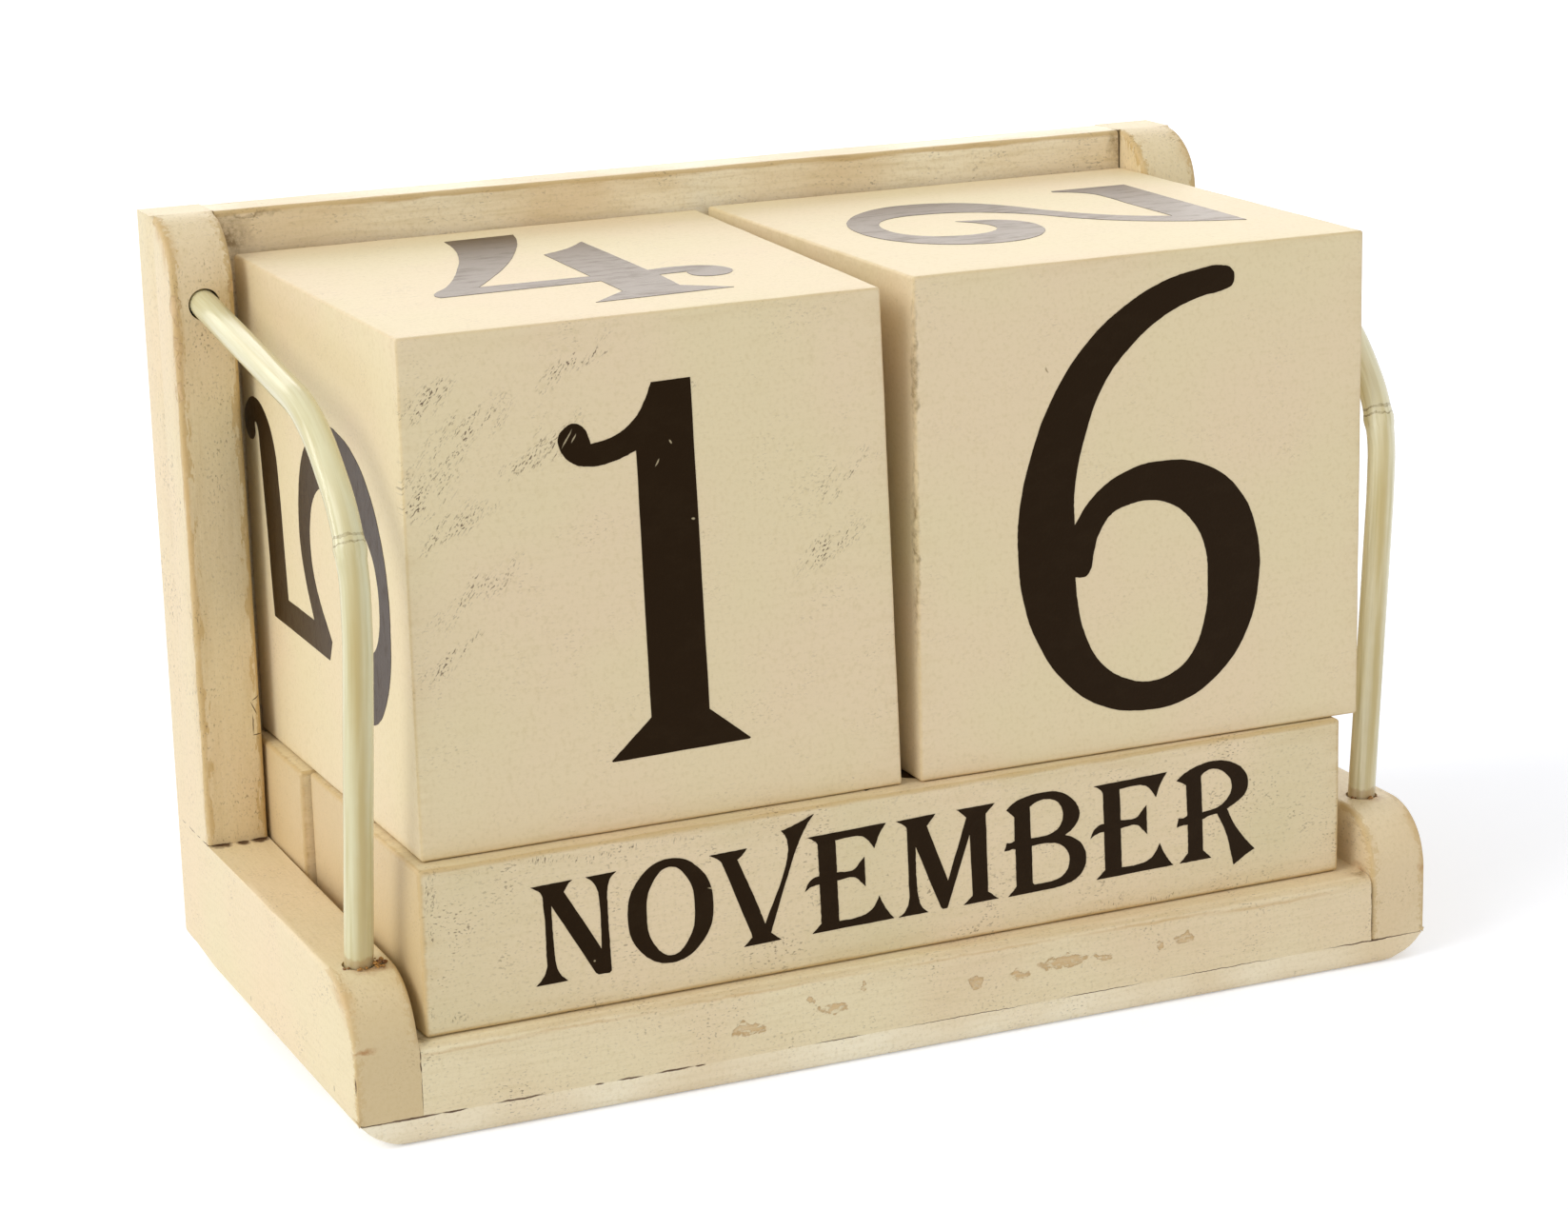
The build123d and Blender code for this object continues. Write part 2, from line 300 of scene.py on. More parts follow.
def painted_wood(name, grain, paint=PAINT, wear=0.5, flecks=0.5, mottle=0.3, ochre=0.2,
        flaking=0, sawn_and_shade=None, chips=(), rubs=(), cracks=(), stains_and_shade=(), stain_and_shade_colour=STAIN_BROWN,
        scratches=None):
    """Matte cream paint. The grain is 0, 1 or 2 for a board cut along X, Y or Z, and flaking is
    how
    much the torn line along a rim shows. The pair for rough cut faces is an axis and an amount:
    faces along that axis turn buff, partly where the rough edge took in the coat and partly as
    painted shade. Oval patches in a colour of their own are partly stained spots and dirt and
    partly painted shade in corners."""
    material, tree = new_material(name)
    place = add(tree, "ShaderNodeTexCoord", out=3)
    brushed = add(tree, "ShaderNodeTexNoise", {"Scale": 1.0, "Detail": 4.0, "Roughness": 0.6,
        "Vector": grained(tree, place, grain, MOTTLE_LENGTH, MOTTLE_WIDTH)})
    tooth = add(tree, "ShaderNodeTexNoise", {"Vector": place, "Scale": per_mm(TOOTH_SIZE),
        "Detail": 2.0})
    drift = add(tree, "ShaderNodeTexNoise", {"Vector": place, "Scale": per_mm(DRIFT_SIZE),
        "Detail": 2.0})
    patch = add(tree, "ShaderNodeTexNoise", {"Scale": 1.0, "Detail": 7.0, "Roughness": 0.62,
        "Vector": grained(tree, place, grain, WEAR_LENGTH, WEAR_WIDTH)})

    warm = add(tree, "ShaderNodeMapRange", {"Value": drift, "From Min": 0.38, "From Max": 0.62})
    colour = blend_in(tree, warm, to_linear(paint), PAINT_WARM)
    thin = add(tree, "ShaderNodeMapRange", {"Value": brushed, "From Min": 0.48, "From Max": 0.8,
        "To Max": mottle})
    colour = blend_in(tree, thin, colour, PAINT_THIN)
    grains = add(tree, "ShaderNodeMapRange", {"Value": tooth, "From Min": 0.5, "From Max": 0.8,
        "To Max": 0.4})
    colour = blend_in(tree, grains, colour, PAINT_THIN)

    edge = add(tree, "ShaderNodeAttribute", out=2, attribute_name="edge_mm")
    fade = add(tree, "ShaderNodeMapRange", {"Value": edge, "From Min": OCHRE_FADE,
        "From Max": 0.2})
    cloud = add(tree, "ShaderNodeMapRange", {"Value": patch, "From Min": 0.45, "From Max": 0.62,
        "To Max": ochre})
    tint = add(tree, "ShaderNodeMath", {0: fade, 1: cloud}, operation="MULTIPLY")
    colour = blend_in(tree, tint, colour, RIM_OCHRE)
    reach = add(tree, "ShaderNodeMapRange", {"Value": patch, "From Min": 0.36, "From Max": 0.68,
        "To Min": 0.3 * wear, "To Max": wear})
    bare = add(tree, "ShaderNodeMath", {0: reach, 1: edge}, operation="SUBTRACT")
    ochre_line = add(tree, "ShaderNodeMapRange", {"Value": bare, "From Min": -0.2,
        "From Max": 0.15, "To Max": min(0.85, 0.3 + wear)})
    colour = blend_in(tree, ochre_line, colour, RIM_OCHRE)
    brown_line = add(tree, "ShaderNodeMapRange", {"Value": bare, "From Min": 0.4,
        "From Max": 0.75, "To Max": 0.6})
    colour = blend_in(tree, brown_line, colour, RIM_BROWN)
    if flaking:
        torn = add(tree, "ShaderNodeTexNoise", {"Scale": 1.0, "Detail": 3.0,
            "Roughness": 0.7, "Vector": grained(tree, place, grain, FLAKE_LENGTH, FLAKE_WIDTH)})
        torn = add(tree, "ShaderNodeMath", {0: torn, 1: FLAKE_REACH, 2: -0.5 * FLAKE_REACH},
            operation="MULTIPLY_ADD")
        torn = add(tree, "ShaderNodeMath", {0: torn, 1: edge}, operation="SUBTRACT")
        torn = add(tree, "ShaderNodeMapRange", {"Value": torn, "From Min": -0.55,
            "From Max": -0.3, "To Max": flaking})
        colour = blend_in(tree, torn, colour, RIM_OCHRE)

    fleck = add(tree, "ShaderNodeTexNoise", {"Scale": 1.0, "Detail": 1.5,
        "Vector": grained(tree, place, grain, FLECK_LENGTH, FLECK_WIDTH)})
    fleck = add(tree, "ShaderNodeMapRange", {"Value": fleck, "From Min": 0.59, "From Max": 0.68})
    crowd = add(tree, "ShaderNodeTexNoise", {"Vector": place, "Scale": per_mm(CROWD_SIZE),
        "Detail": 4.0, "Roughness": 0.6})
    crowd = add(tree, "ShaderNodeMapRange", {"Value": crowd, "From Min": 0.52, "From Max": 0.68,
        "To Min": 0.28 * flecks, "To Max": 0.9 * flecks**0.6})
    spots = add(tree, "ShaderNodeMath", {0: fleck, 1: crowd}, operation="MULTIPLY")
    colour = blend_in(tree, spots, colour, FLECK_BROWN)
    # Faces along the given axis turn buff: partly the coat sunk into a rough cut edge, and partly
    # painted shade that darkens the bars' recessed ends and the fronts and backs of arms and
    # posts.
    if sawn_and_shade:
        facing = add(tree, "ShaderNodeNewGeometry", out=1)
        facing = add(tree, "ShaderNodeSeparateXYZ", {0: facing}, out=sawn_and_shade[0])
        facing = add(tree, "ShaderNodeMath", {0: facing}, operation="ABSOLUTE")
        sunk_and_shaded = add(tree, "ShaderNodeMapRange", {"Value": facing, "From Min": 0.35,
            "From Max": 0.85, "To Max": sawn_and_shade[1]})
        colour = blend_in(tree, sunk_and_shaded, colour, SAWN_BUFF_AND_SHADE)

    height = add(tree, "ShaderNodeMath", {0: brushed, 1: BRUSH_RELIEF}, operation="MULTIPLY")
    height = add(tree, "ShaderNodeMath", {0: tooth, 1: TOOTH_RELIEF, 2: height},
        operation="MULTIPLY_ADD")
    height = add(tree, "ShaderNodeMath", {0: spots, 1: -FLECK_PIT, 2: height},
        operation="MULTIPLY_ADD")
    if scratches:
        scored = scratches(tree, place)
        shown = add(tree, "ShaderNodeMath", {0: scored, 1: 0.85}, operation="MULTIPLY")
        colour = blend_in(tree, shown, colour, SCRATCH_BROWN)
        height = add(tree, "ShaderNodeMath", {0: scored, 1: -SCRATCH_PIT, 2: height},
            operation="MULTIPLY_ADD")
    # Oval patches in their own colour: real stains at the rods' feet, and dirt that is also
    # painted shade where the patches sit in corners and gaps.
    if stains_and_shade:
        away = nearest_oval(tree, shifted(tree, place, *RAGGED_STAIN), stains_and_shade)
        shown = add(tree, "ShaderNodeMapRange", {"Value": away, "From Min": 1.3,
            "From Max": 0.3, "To Max": 0.9})
        broken = add(tree, "ShaderNodeTexNoise", {"Vector": place, "Scale": per_mm(STAIN_GRIT),
            "Detail": 4.0, "Roughness": 0.7})
        broken = add(tree, "ShaderNodeMapRange", {"Value": broken, "From Min": 0.4,
            "From Max": 0.62, "To Min": 0.35})
        shown = add(tree, "ShaderNodeMath", {0: shown, 1: broken}, operation="MULTIPLY")
        colour = blend_in(tree, shown, colour, stain_and_shade_colour)
    if rubs:
        away = nearest_oval(tree, shifted(tree, place, *RAGGED_RUB), rubs)
        rub = add(tree, "ShaderNodeMapRange", {"Value": away, "From Min": 1.4, "From Max": 0.3,
            "To Max": 0.75})
        shown = add(tree, "ShaderNodeMapRange", {"Value": patch, "From Min": 0.32,
            "From Max": 0.55, "To Min": 0.25})
        shown = add(tree, "ShaderNodeMath", {0: rub, 1: shown}, operation="MULTIPLY")
        beside_rim = add(tree, "ShaderNodeMapRange", {"Value": edge, "From Min": 1.7,
            "From Max": 1.0})
        shown = add(tree, "ShaderNodeMath", {0: shown, 1: beside_rim}, operation="MULTIPLY")
        colour = blend_in(tree, shown, colour, RUB_TAN)
    if chips:
        away = nearest_oval(tree, shifted(tree, place, *RAGGED_CHIP), chips)
        chip = add(tree, "ShaderNodeMapRange", {"Value": away, "From Min": 1.15,
            "From Max": 1.0})
        island = add(tree, "ShaderNodeTexNoise", {"Scale": 1.0, "Detail": 3.0, "Roughness": 0.65,
            "Vector": grained(tree, place, grain, ISLAND_LENGTH, ISLAND_WIDTH)})
        island = add(tree, "ShaderNodeMapRange", {"Value": island, "From Min": 0.4,
            "From Max": 0.5})
        chip = add(tree, "ShaderNodeMath", {0: chip, 1: island}, operation="MULTIPLY")
        lip = add(tree, "ShaderNodeMapRange", {"Value": away, "From Min": 0.75,
            "From Max": 1.0, "To Max": 0.3})
        lip = add(tree, "ShaderNodeMath", {0: chip, 1: lip}, operation="MULTIPLY")
        shown = add(tree, "ShaderNodeMath", {0: chip, 1: brushed}, operation="MULTIPLY")
        shown = add(tree, "ShaderNodeMath", {0: shown, 1: 1.7}, operation="MULTIPLY",
            use_clamp=True)
        colour = blend_in(tree, shown, colour, CHIP_TAN)
        colour = blend_in(tree, lip, colour, RIM_BROWN)
        height = add(tree, "ShaderNodeMath", {0: chip, 1: -CHIP_PIT, 2: height},
            operation="MULTIPLY_ADD")
    if cracks:
        away = nearest_oval(tree, shifted(tree, place, *RAGGED_CRACK), cracks)
        crack = add(tree, "ShaderNodeMapRange", {"Value": away, "From Min": 1.15,
            "From Max": 0.7, "To Max": 0.95})
        colour = blend_in(tree, crack, colour, CRACK_BROWN)
        height = add(tree, "ShaderNodeMath", {0: crack, 1: -CRACK_PIT, 2: height},
            operation="MULTIPLY_ADD")

    relief = add(tree, "ShaderNodeBump", {"Height": height, "Strength": 1.0, "Distance": MM})
    skin = add(tree, "ShaderNodeBsdfPrincipled", {"Base Color": colour, "Roughness": 0.5,
        "Normal": relief})
    add(tree, "ShaderNodeOutputMaterial", {"Surface": skin})
    return material


# %% [markdown]
# The flaws are where such a calendar has them: chips where a hand pushes the bars against the
# rail, cracks where the coat bridged the joints of rail, base, arm and post, and sanding
# scratches that run slanting over the front of one cube. Their places are in millimetres from
# the middle of the tray's underside.

# %% Flaws and paints
low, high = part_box("floor_board")
RAIL_FRONT, RAIL_FOOT = low.y / MM, low.z / MM
RAIL_CHIPS = on_front(RAIL_FRONT, [(-22.1, 6.6, 1.9, 0.8), (-11.5, 7.3, 1.7, 0.55),
    (-14.3, 8.8, 0.4, 0.4), (-7.6, 9.3, 0.3, 0.4), (7.3, 7.3, 1.1, 0.8), (13.0, 7.3, 1.2, 0.5),
    (19.0, 7.9, 2.9, 0.8), (24.4, 7.7, 1.2, 0.45), (32.1, 8.0, 0.5, 0.6), (35.8, 7.9, 1.2, 0.8)])
FOOT_CRACKS = [(-67.4, 2.6, 0.07), (-63.4, 3.6, 0.13), (-58.6, 1.6, 0.12), (-50.6, 2.9, 0.13),
    (-41.0, 0.6, 0.1), (-37.2, 1.6, 0.11), (-31.7, 2.3, 0.13), (-28.5, 0.7, 0.1),
    (-10.8, 3.2, 0.06), (6.0, 9.0, 0.045), (24.0, 5.5, 0.05), (41.0, 8.0, 0.045),
    (62.3, 6.5, 0.09)]
RAIL_CRACKS = on_front(RAIL_FRONT, [(x, RAIL_FOOT, wide, tall) for x, wide, tall in FOOT_CRACKS])
RAIL_CRACKS += on_front(RAIL_FRONT, [(-62.2, 10.5, 0.07, 0.5), (-62.2, 9.2, 0.09, 0.7),
    (-62.2, 6.0, 0.04, 2.2), (62.2, 9.6, 0.06, 1.2), (62.2, 6.4, 0.07, 2.6)])
RAIL_RUBS = on_front(RAIL_FRONT, [(-55.0, 10.6, 7.5, 0.22), (-41.5, 10.8, 8.0, 0.2),
    (-20.0, 11.0, 14.0, 0.18), (9.0, 10.9, 10.0, 0.18), (30.0, 10.8, 9.0, 0.2),
    (48.0, 10.5, 8.0, 0.24)])
low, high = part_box("left_post")
POST_FOOT, POST_FRONT, POST_OUTER = low.z / MM, low.y / MM, low.x / MM
POST_CRACKS = on_front(POST_FRONT, [(-68.4, POST_FOOT + 0.05, 1.5, 0.12),
    (-65.6, POST_FOOT, 0.9, 0.08), (-63.4, POST_FOOT + 0.05, 1.2, 0.13),
    (66.1, POST_FOOT, 4.2, 0.08), (-63.3, 34.2, 0.07, 1.3), (-62.8, 32.9, 0.6, 0.07)])
POST_CRACKS += on_front(POST_FRONT, [(-63.2, 36.3, 0.07, 0.9)], 24)
POST_CRACKS += on_front(POST_FRONT, [(-62.8, 37.6, 0.6, 0.07)], 30)
POST_CRACKS += [((side * POST_OUTER, y, POST_FOOT), (FLAW_DEPTH, long, 0.06), 0)
    for side in (1, -1) for y, long in ((23.2, 1.3), (26.3, 0.7), (29.4, 1.5), (33.2, 0.8))]
POST_CHIPS = on_front(POST_FRONT, [(-69.7, 86.8, 0.5, 1.7), (-69.6, 81.5, 0.45, 1.9),
    (-69.7, 76.6, 0.4, 1.3), (-62.4, 88.6, 0.4, 1.5), (69.7, 85.0, 0.4, 1.5)])
ROD_FROM_NOSE = 9.0
low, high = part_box("left_arm")
FOOT_Y, ARM_TOP = low.y / MM + ROD_FROM_NOSE, high.z / MM
ROD_STAINS = [((-65.3, FOOT_Y - 1.9, ARM_TOP), (2.3, 1.0, 1.0), 0),
    ((66.6, FOOT_Y - 1.8, ARM_TOP), (1.6, 0.9, 0.8), 0)]
# Brown patches low on the arms' fronts: at their outer corners, and on the right arm's inner face
# at the rail.
NOSE_BROWN_PATCHES = [((-69.0, -36.0, 12.0), (1.7, 1.0, 0.35), 0),
    ((69.6, -35.6, 11.9), (0.8, 1.2, 0.7), 0), ((62.2, -33.0, 12.0), (0.5, 1.5, 0.6), 0)]
NOSE_CRACKS = [((-69.9, -36.0, 8.2), (0.05, 0.8, 1.1), 0),
    ((-70.0, 6.25, 4.55), (1.5, 0.09, 0.4), 0), ((-70.0, -27.6, 5.1), (1.5, 0.1, 0.4), 0)]
CUBE_FRONT, BAR_FRONT, TRAY_BACK = -31.6, -34.4, 36.0
BACK_CRACKS = on_front(TRAY_BACK, [(-62.2, 70.0, 0.06, 9.0), (-62.2, 40.0, 0.05, 14.0),
    (62.2, 82.0, 0.06, 8.0), (62.2, 48.0, 0.05, 12.0), (-30.0, 11.8, 12.0, 0.06),
    (25.0, 11.8, 16.0, 0.05), (-66.0, 19.3, 3.5, 0.07), (66.0, 19.3, 3.0, 0.06)])
# Olive patches on the rail top in the corners beside the front bar and the arms: dirt and painted
# shade in those corners.
RAIL_CORNER_DIRT_AND_SHADE = [((61.2, -34.4, 11.8), (1.3, 1.0, 0.5), 0),
    ((-61.4, -34.2, 11.8), (0.9, 1.4, 0.7), 0)]
NOSE_RUBS = [((-69.4, -32.2, 17.2), (1.1, 3.6, 2.6), 0),
    ((69.5, -33.2, 16.0), (0.9, 2.6, 3.2), 0), ((69.7, -36.0, 12.0), (0.7, 1.0, 1.6), 0)]
low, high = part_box("back_panel")
PANEL_FRONT, PANEL_TOP = low.y / MM, high.z / MM
# Patches at the panel's top corners against the posts, which are dirt and painted shade in those
# corners, and a thin one along its top at the left.
PANEL_CORNER_DIRT_AND_SHADE = [((high.x / MM, PANEL_FRONT, PANEL_TOP - 2.2), (1.5, 1.2, 3.2), 0),
    ((low.x / MM + 1.4, PANEL_FRONT, PANEL_TOP - 3.4), (3.0, 1.0, 3.0), 0),
    ((low.x / MM + 5.0, PANEL_FRONT, PANEL_TOP - 0.8), (4.0, 1.0, 0.3), 0)]
# Patches on the posts' inner faces beside the cubes, which are dirt and painted shade in that
# narrow gap, and one on the left post's front below the rod.
POST_CORNER_DIRT_AND_SHADE = [((-62.5, 22.9, 88.2), (1.0, 2.0, 2.4), 0),
    ((-65.0, POST_FRONT, 84.9), (1.2, 1.0, 0.5), 0), ((62.4, 22.4, 86.5), (0.6, 1.6, 1.8), 0)]
POST_RUBS = [((-69.3, 25.5, 93.5), (1.1, 3.6, 3.4), 0),
    ((-69.7, 22.0, 82.0), (0.7, 1.0, 5.0), 0), ((-69.8, 21.8, 60.0), (0.6, 1.0, 9.0), 0),
    ((69.5, 25.0, 93.5), (0.9, 3.0, 3.0), 0)]
SANDED = on_front(CUBE_FRONT, [(-56.5, 84.2, 5.0, 1.7), (-57.8, 74.0, 4.0, 2.6),
    (-52.5, 80.5, 6.0, 2.2), (-51.5, 62.0, 6.5, 1.8), (-53.0, 70.5, 5.0, 1.8),
    (-28.2, 81.0, 3.5, 1.0), (-44.0, 77.0, 6.0, 1.2), (-55.0, 55.0, 5.0, 1.3),
    (-8.0, 62.0, 5.0, 1.4), (-6.5, 70.0, 4.0, 1.0), (-39.0, 87.0, 5.0, 1.2)], 32)
# An olive line down the right cube's left front edge beside the gap to the left cube, which is
# dirt and painted shade in that gap, and a small spot on its front.
CUBE_EDGE_DIRT_AND_SHADE = [((2.6, -31.4, 81.0), (0.4, 0.8, 8.0), 0),
    ((2.6, -31.0, 60.0), (0.3, 0.8, 12.0), 0), ((19.6, CUBE_FRONT, 79.6), (0.2, 0.6, 0.5), 0)]
KNOCKED = on_front(BAR_FRONT, [(-59.6, 28.5, 0.8, 2.4), (-59.9, 23.6, 0.6, 1.6),
    (-59.2, 15.0, 1.4, 1.0), (-56.4, 14.0, 1.4, 0.6), (-40.0, 30.6, 12.0, 0.5),
    (30.0, 12.6, 8.0, 0.4)])


ROW_LENGTH, ROW_WIDTH = 9.0, 4.0


def short_scratches(length, width, slant, clusters):
    """A maker of short scratches, in slanting rows that lie in a few clusters."""
    def scratches(tree, place):
        slanted = add(tree, "ShaderNodeMapping", {"Vector": place,
            "Rotation": (0, -math.radians(slant), 0),
            "Scale": (length * MM, 30 * MM, width * MM)}, vector_type="TEXTURE")
        strokes = add(tree, "ShaderNodeTexNoise", {"Vector": slanted, "Scale": 1.0,
            "Detail": 2.0})
        strokes = add(tree, "ShaderNodeMapRange", {"Value": strokes, "From Min": 0.54,
            "From Max": 0.61})
        spread = add(tree, "ShaderNodeMapping", {"Vector": slanted,
            "Scale": (1 / ROW_LENGTH, 1.0, 1 / ROW_WIDTH)})
        rows = add(tree, "ShaderNodeTexNoise", {"Vector": spread, "Scale": 1.0, "Detail": 2.0})
        rows = add(tree, "ShaderNodeMapRange", {"Value": rows, "From Min": 0.43,
            "From Max": 0.54})
        strokes = add(tree, "ShaderNodeMath", {0: strokes, 1: rows}, operation="MULTIPLY")
        away = nearest_oval(tree, shifted(tree, place, 5, 1.5), clusters)
        cluster = add(tree, "ShaderNodeMapRange", {"Value": away, "From Min": 1.3,
            "From Max": 0.5})
        return add(tree, "ShaderNodeMath", {0: strokes, 1: cluster}, operation="MULTIPLY")
    return scratches


paint_rail = painted_wood("cream_paint_on_rail", 0, paint="#EEDFB8", wear=0.1, mottle=0.4,
    chips=RAIL_CHIPS, rubs=RAIL_RUBS, cracks=RAIL_CRACKS + BACK_CRACKS, stains_and_shade=RAIL_CORNER_DIRT_AND_SHADE,
    stain_and_shade_colour=OLIVE_DIRT_AND_SHADE)
# The base and the panel get a lighter cream than the other boards. That is painted light: on the
# base it stands for light thrown up from the desk onto its rounded underside, and on the panel it
# lifts a front that lies in the shade of the cubes.
paint_base = painted_wood("cream_paint_on_base", 0, paint="#FCF1D4", wear=0.1, flecks=0.3,
    cracks=RAIL_CRACKS)
paint_panel = painted_wood("cream_paint_on_panel", 0, paint="#FCF1D4", wear=0.6, flecks=0.35,
    ochre=0.35, mottle=0.55, stains_and_shade=PANEL_CORNER_DIRT_AND_SHADE, stain_and_shade_colour=OLIVE_DIRT_AND_SHADE, cracks=BACK_CRACKS)
ARM_FLAWS = {"cracks": RAIL_CRACKS + POST_CRACKS + NOSE_CRACKS, "rubs": NOSE_RUBS,
    "stains_and_shade": ROD_STAINS + NOSE_BROWN_PATCHES}
paint_arm = {
    "left": painted_wood("cream_paint_on_left_arm", 1, paint="#E7D7AE", wear=0.2, flecks=0.25,
        flaking=0.5, sawn_and_shade=(1, 0.55), **ARM_FLAWS),
    # The right arm's cream is lighter than the left's, which is painted light on the right side.
    "right": painted_wood("cream_paint_on_right_arm", 1, paint="#F8ECCA", wear=0.2, flecks=0.25,
        flaking=0.5, sawn_and_shade=(1, 0.25), **ARM_FLAWS)}
paint_post = painted_wood("cream_paint_on_posts", 2, paint="#E7D7AF", wear=0.4, flecks=0.6,
    ochre=0.5, sawn_and_shade=(1, 0.12), chips=POST_CHIPS, cracks=POST_CRACKS + BACK_CRACKS,
    flaking=0.8, rubs=POST_RUBS, stains_and_shade=POST_CORNER_DIRT_AND_SHADE, stain_and_shade_colour=OCHRE_DIRT_AND_SHADE)
paint_scratched_cube = painted_wood("cream_paint_on_left_cube", 0, wear=0.1, flecks=0.12,
    mottle=0.15, ochre=0.15, scratches=short_scratches(0.55, 0.2, 52, SANDED))
paint_cube = painted_wood("cream_paint_on_right_cube", 0, wear=0.12, flecks=0.04, mottle=0.1,
    ochre=0.15, stains_and_shade=CUBE_EDGE_DIRT_AND_SHADE, stain_and_shade_colour=OLIVE_DIRT_AND_SHADE)
# The bars' buff ends are partly end grain and partly painted shade where they sit back in the
# tray.
paint_bar = painted_wood("cream_paint_on_bars", 0, paint="#E1D1A7", wear=0.4, flecks=0.5,
    ochre=0.3, sawn_and_shade=(0, 0.6), scratches=short_scratches(0.5, 0.18, 80, KNOCKED))
print("paints:", [m.name for m in bpy.data.materials if m.name.startswith("cream")])

# %% [markdown]
# ## Modelling helpers
# Every board is worked as in a shop: a blank of the board's size, a rounded nose, eased rims,
# holes for the rods. Then the mesh is cut across every few millimetres, closer beside the rims,
# so that the distance to the rim is written finely enough and the rims can be worn unevenly.
# Until that is done, the faces of a rim are marked by a material number of their own.

# %% Modelling helpers
EDGE_REACH = 3.0
CUTS_BESIDE_RIM = (0.95, 1.7, 3.2)
CUT_STEP = 5.0
RUB_DEPTH, RUB_PATCH = 0.12, 5
RIM_MARK = 1
SMOOTH_BELOW = 35


def blank(name, low, high):
    """A box between two corners, in metres, with its place in its mesh."""
    bpy.ops.object.select_all(action="DESELECT")
    bpy.ops.mesh.primitive_cube_add(size=1, location=(low + high) / 2, scale=high - low)
    board = bpy.context.object
    board.name = name
    bpy.ops.object.transform_apply(location=True, rotation=True, scale=True)
    return board


def half_way(axis):
    """A test for the middle strip of a rim beside a face: it leans half way along one axis."""
    return lambda normal: 0.6 < abs(normal[axis]) < 0.8


def round_edges(board, test, width, segments, rim=None):
    """Bevels the edges whose two ends pass the test together, and marks the rim's faces."""
    bpy.ops.object.mode_set(mode="EDIT")
    bpy.ops.mesh.select_mode(type="EDGE")
    bpy.ops.mesh.select_all(action="DESELECT")
    work = bmesh.from_edit_mesh(board.data)
    for edge in work.edges:
        edge.select_set(test(edge.verts[0].co, edge.verts[1].co))
    bmesh.update_edit_mesh(board.data)
    bpy.ops.mesh.bevel(offset=width * MM, segments=segments, affect="EDGES")
    if rim:
        work = bmesh.from_edit_mesh(board.data)
        for face in work.faces:
            if face.select and rim(face.normal):
                face.material_index = RIM_MARK
        bmesh.update_edit_mesh(board.data)
    bpy.ops.object.mode_set(mode="OBJECT")


def pick(piece):
    """Selects one object alone, for the operators that act on what is selected."""
    bpy.ops.object.select_all(action="DESELECT")
    piece.select_set(True)
    bpy.context.view_layer.objects.active = piece


def as_mesh(name, curve):
    """An object of a curve, made a mesh."""
    piece = bpy.data.objects.new(name, curve)
    bpy.context.scene.collection.objects.link(piece)
    pick(piece)
    bpy.ops.object.convert(target="MESH")
    return bpy.context.object


def drill(board, mouth, inward, radius, depth):
    """Drills a round hole into a board from its mouth; all in metres."""
    bpy.ops.object.select_all(action="DESELECT")
    bpy.ops.mesh.primitive_cylinder_add(vertices=32, radius=radius, depth=2 * depth,
        location=mouth, rotation=inward.to_track_quat("Z", "Y").to_euler())
    bit = bpy.context.object
    hole = board.modifiers.new("drilled_hole", "BOOLEAN")
    hole.operation = "DIFFERENCE"
    hole.object = bit
    pick(board)
    bpy.ops.object.modifier_apply(modifier=hole.name)
    bpy.data.objects.remove(bit)


def cut_lines(low, high):
    """Places of the cuts along one side, in metres: three beside each end and some between."""
    near = [low + away * MM for away in CUTS_BESIDE_RIM]
    far = [high - away * MM for away in reversed(CUTS_BESIDE_RIM)]
    if near[-1] >= far[0]:
        return [low + CUTS_BESIDE_RIM[0] * MM, (low + high) / 2, high - CUTS_BESIDE_RIM[0] * MM]
    count = max(1, round((far[0] - near[-1]) / (CUT_STEP * MM)))
    step = (far[0] - near[-1]) / count
    return near + [near[-1] + step * i for i in range(1, count)] + far


def cut_across(board, axis, *places):
    """Bisects the whole board across one axis at some places."""
    bpy.ops.object.mode_set(mode="EDIT")
    for place in places:
        point, normal = Vector(), Vector()
        point[axis], normal[axis] = place, 1
        bpy.ops.mesh.select_all(action="SELECT")
        bpy.ops.mesh.bisect(plane_co=point, plane_no=normal)
    bpy.ops.object.mode_set(mode="OBJECT")


def cut_up(board, extra=()):
    """Bisects a board across all three directions; extra is a list of (axis, place)."""
    corners = [v.co.copy() for v in board.data.vertices]
    for axis, place in extra:
        cut_across(board, axis, place)
    for axis in range(3):
        sides = [c[axis] for c in corners]
        cut_across(board, axis, *cut_lines(min(sides), max(sides)))


def rub_rims(board, depth=RUB_DEPTH):
    """Writes edge_mm, the distance to the nearest rim, and wears the rims unevenly."""
    mesh = board.data
    rims = {i for face in mesh.polygons if face.material_index == RIM_MARK for i in face.vertices}
    tree = kdtree.KDTree(max(1, len(rims)))
    for i in rims:
        tree.insert(mesh.vertices[i].co, i)
    tree.balance()
    edge = mesh.attributes.new("edge_mm", "FLOAT", "POINT")
    normals = [v.normal.copy() for v in mesh.vertices]
    for vertex, normal in zip(mesh.vertices, normals):
        away = tree.find(vertex.co)[2] / MM if rims else EDGE_REACH
        edge.data[vertex.index].value = min(away, EDGE_REACH)
        worn = 0.5 + 0.5 * noise.noise(vertex.co * per_mm(RUB_PATCH))
        vertex.co -= normal * (depth * MM * worn * max(0.0, 1 - away / EDGE_REACH))
    for face in mesh.polygons:
        face.material_index = 0


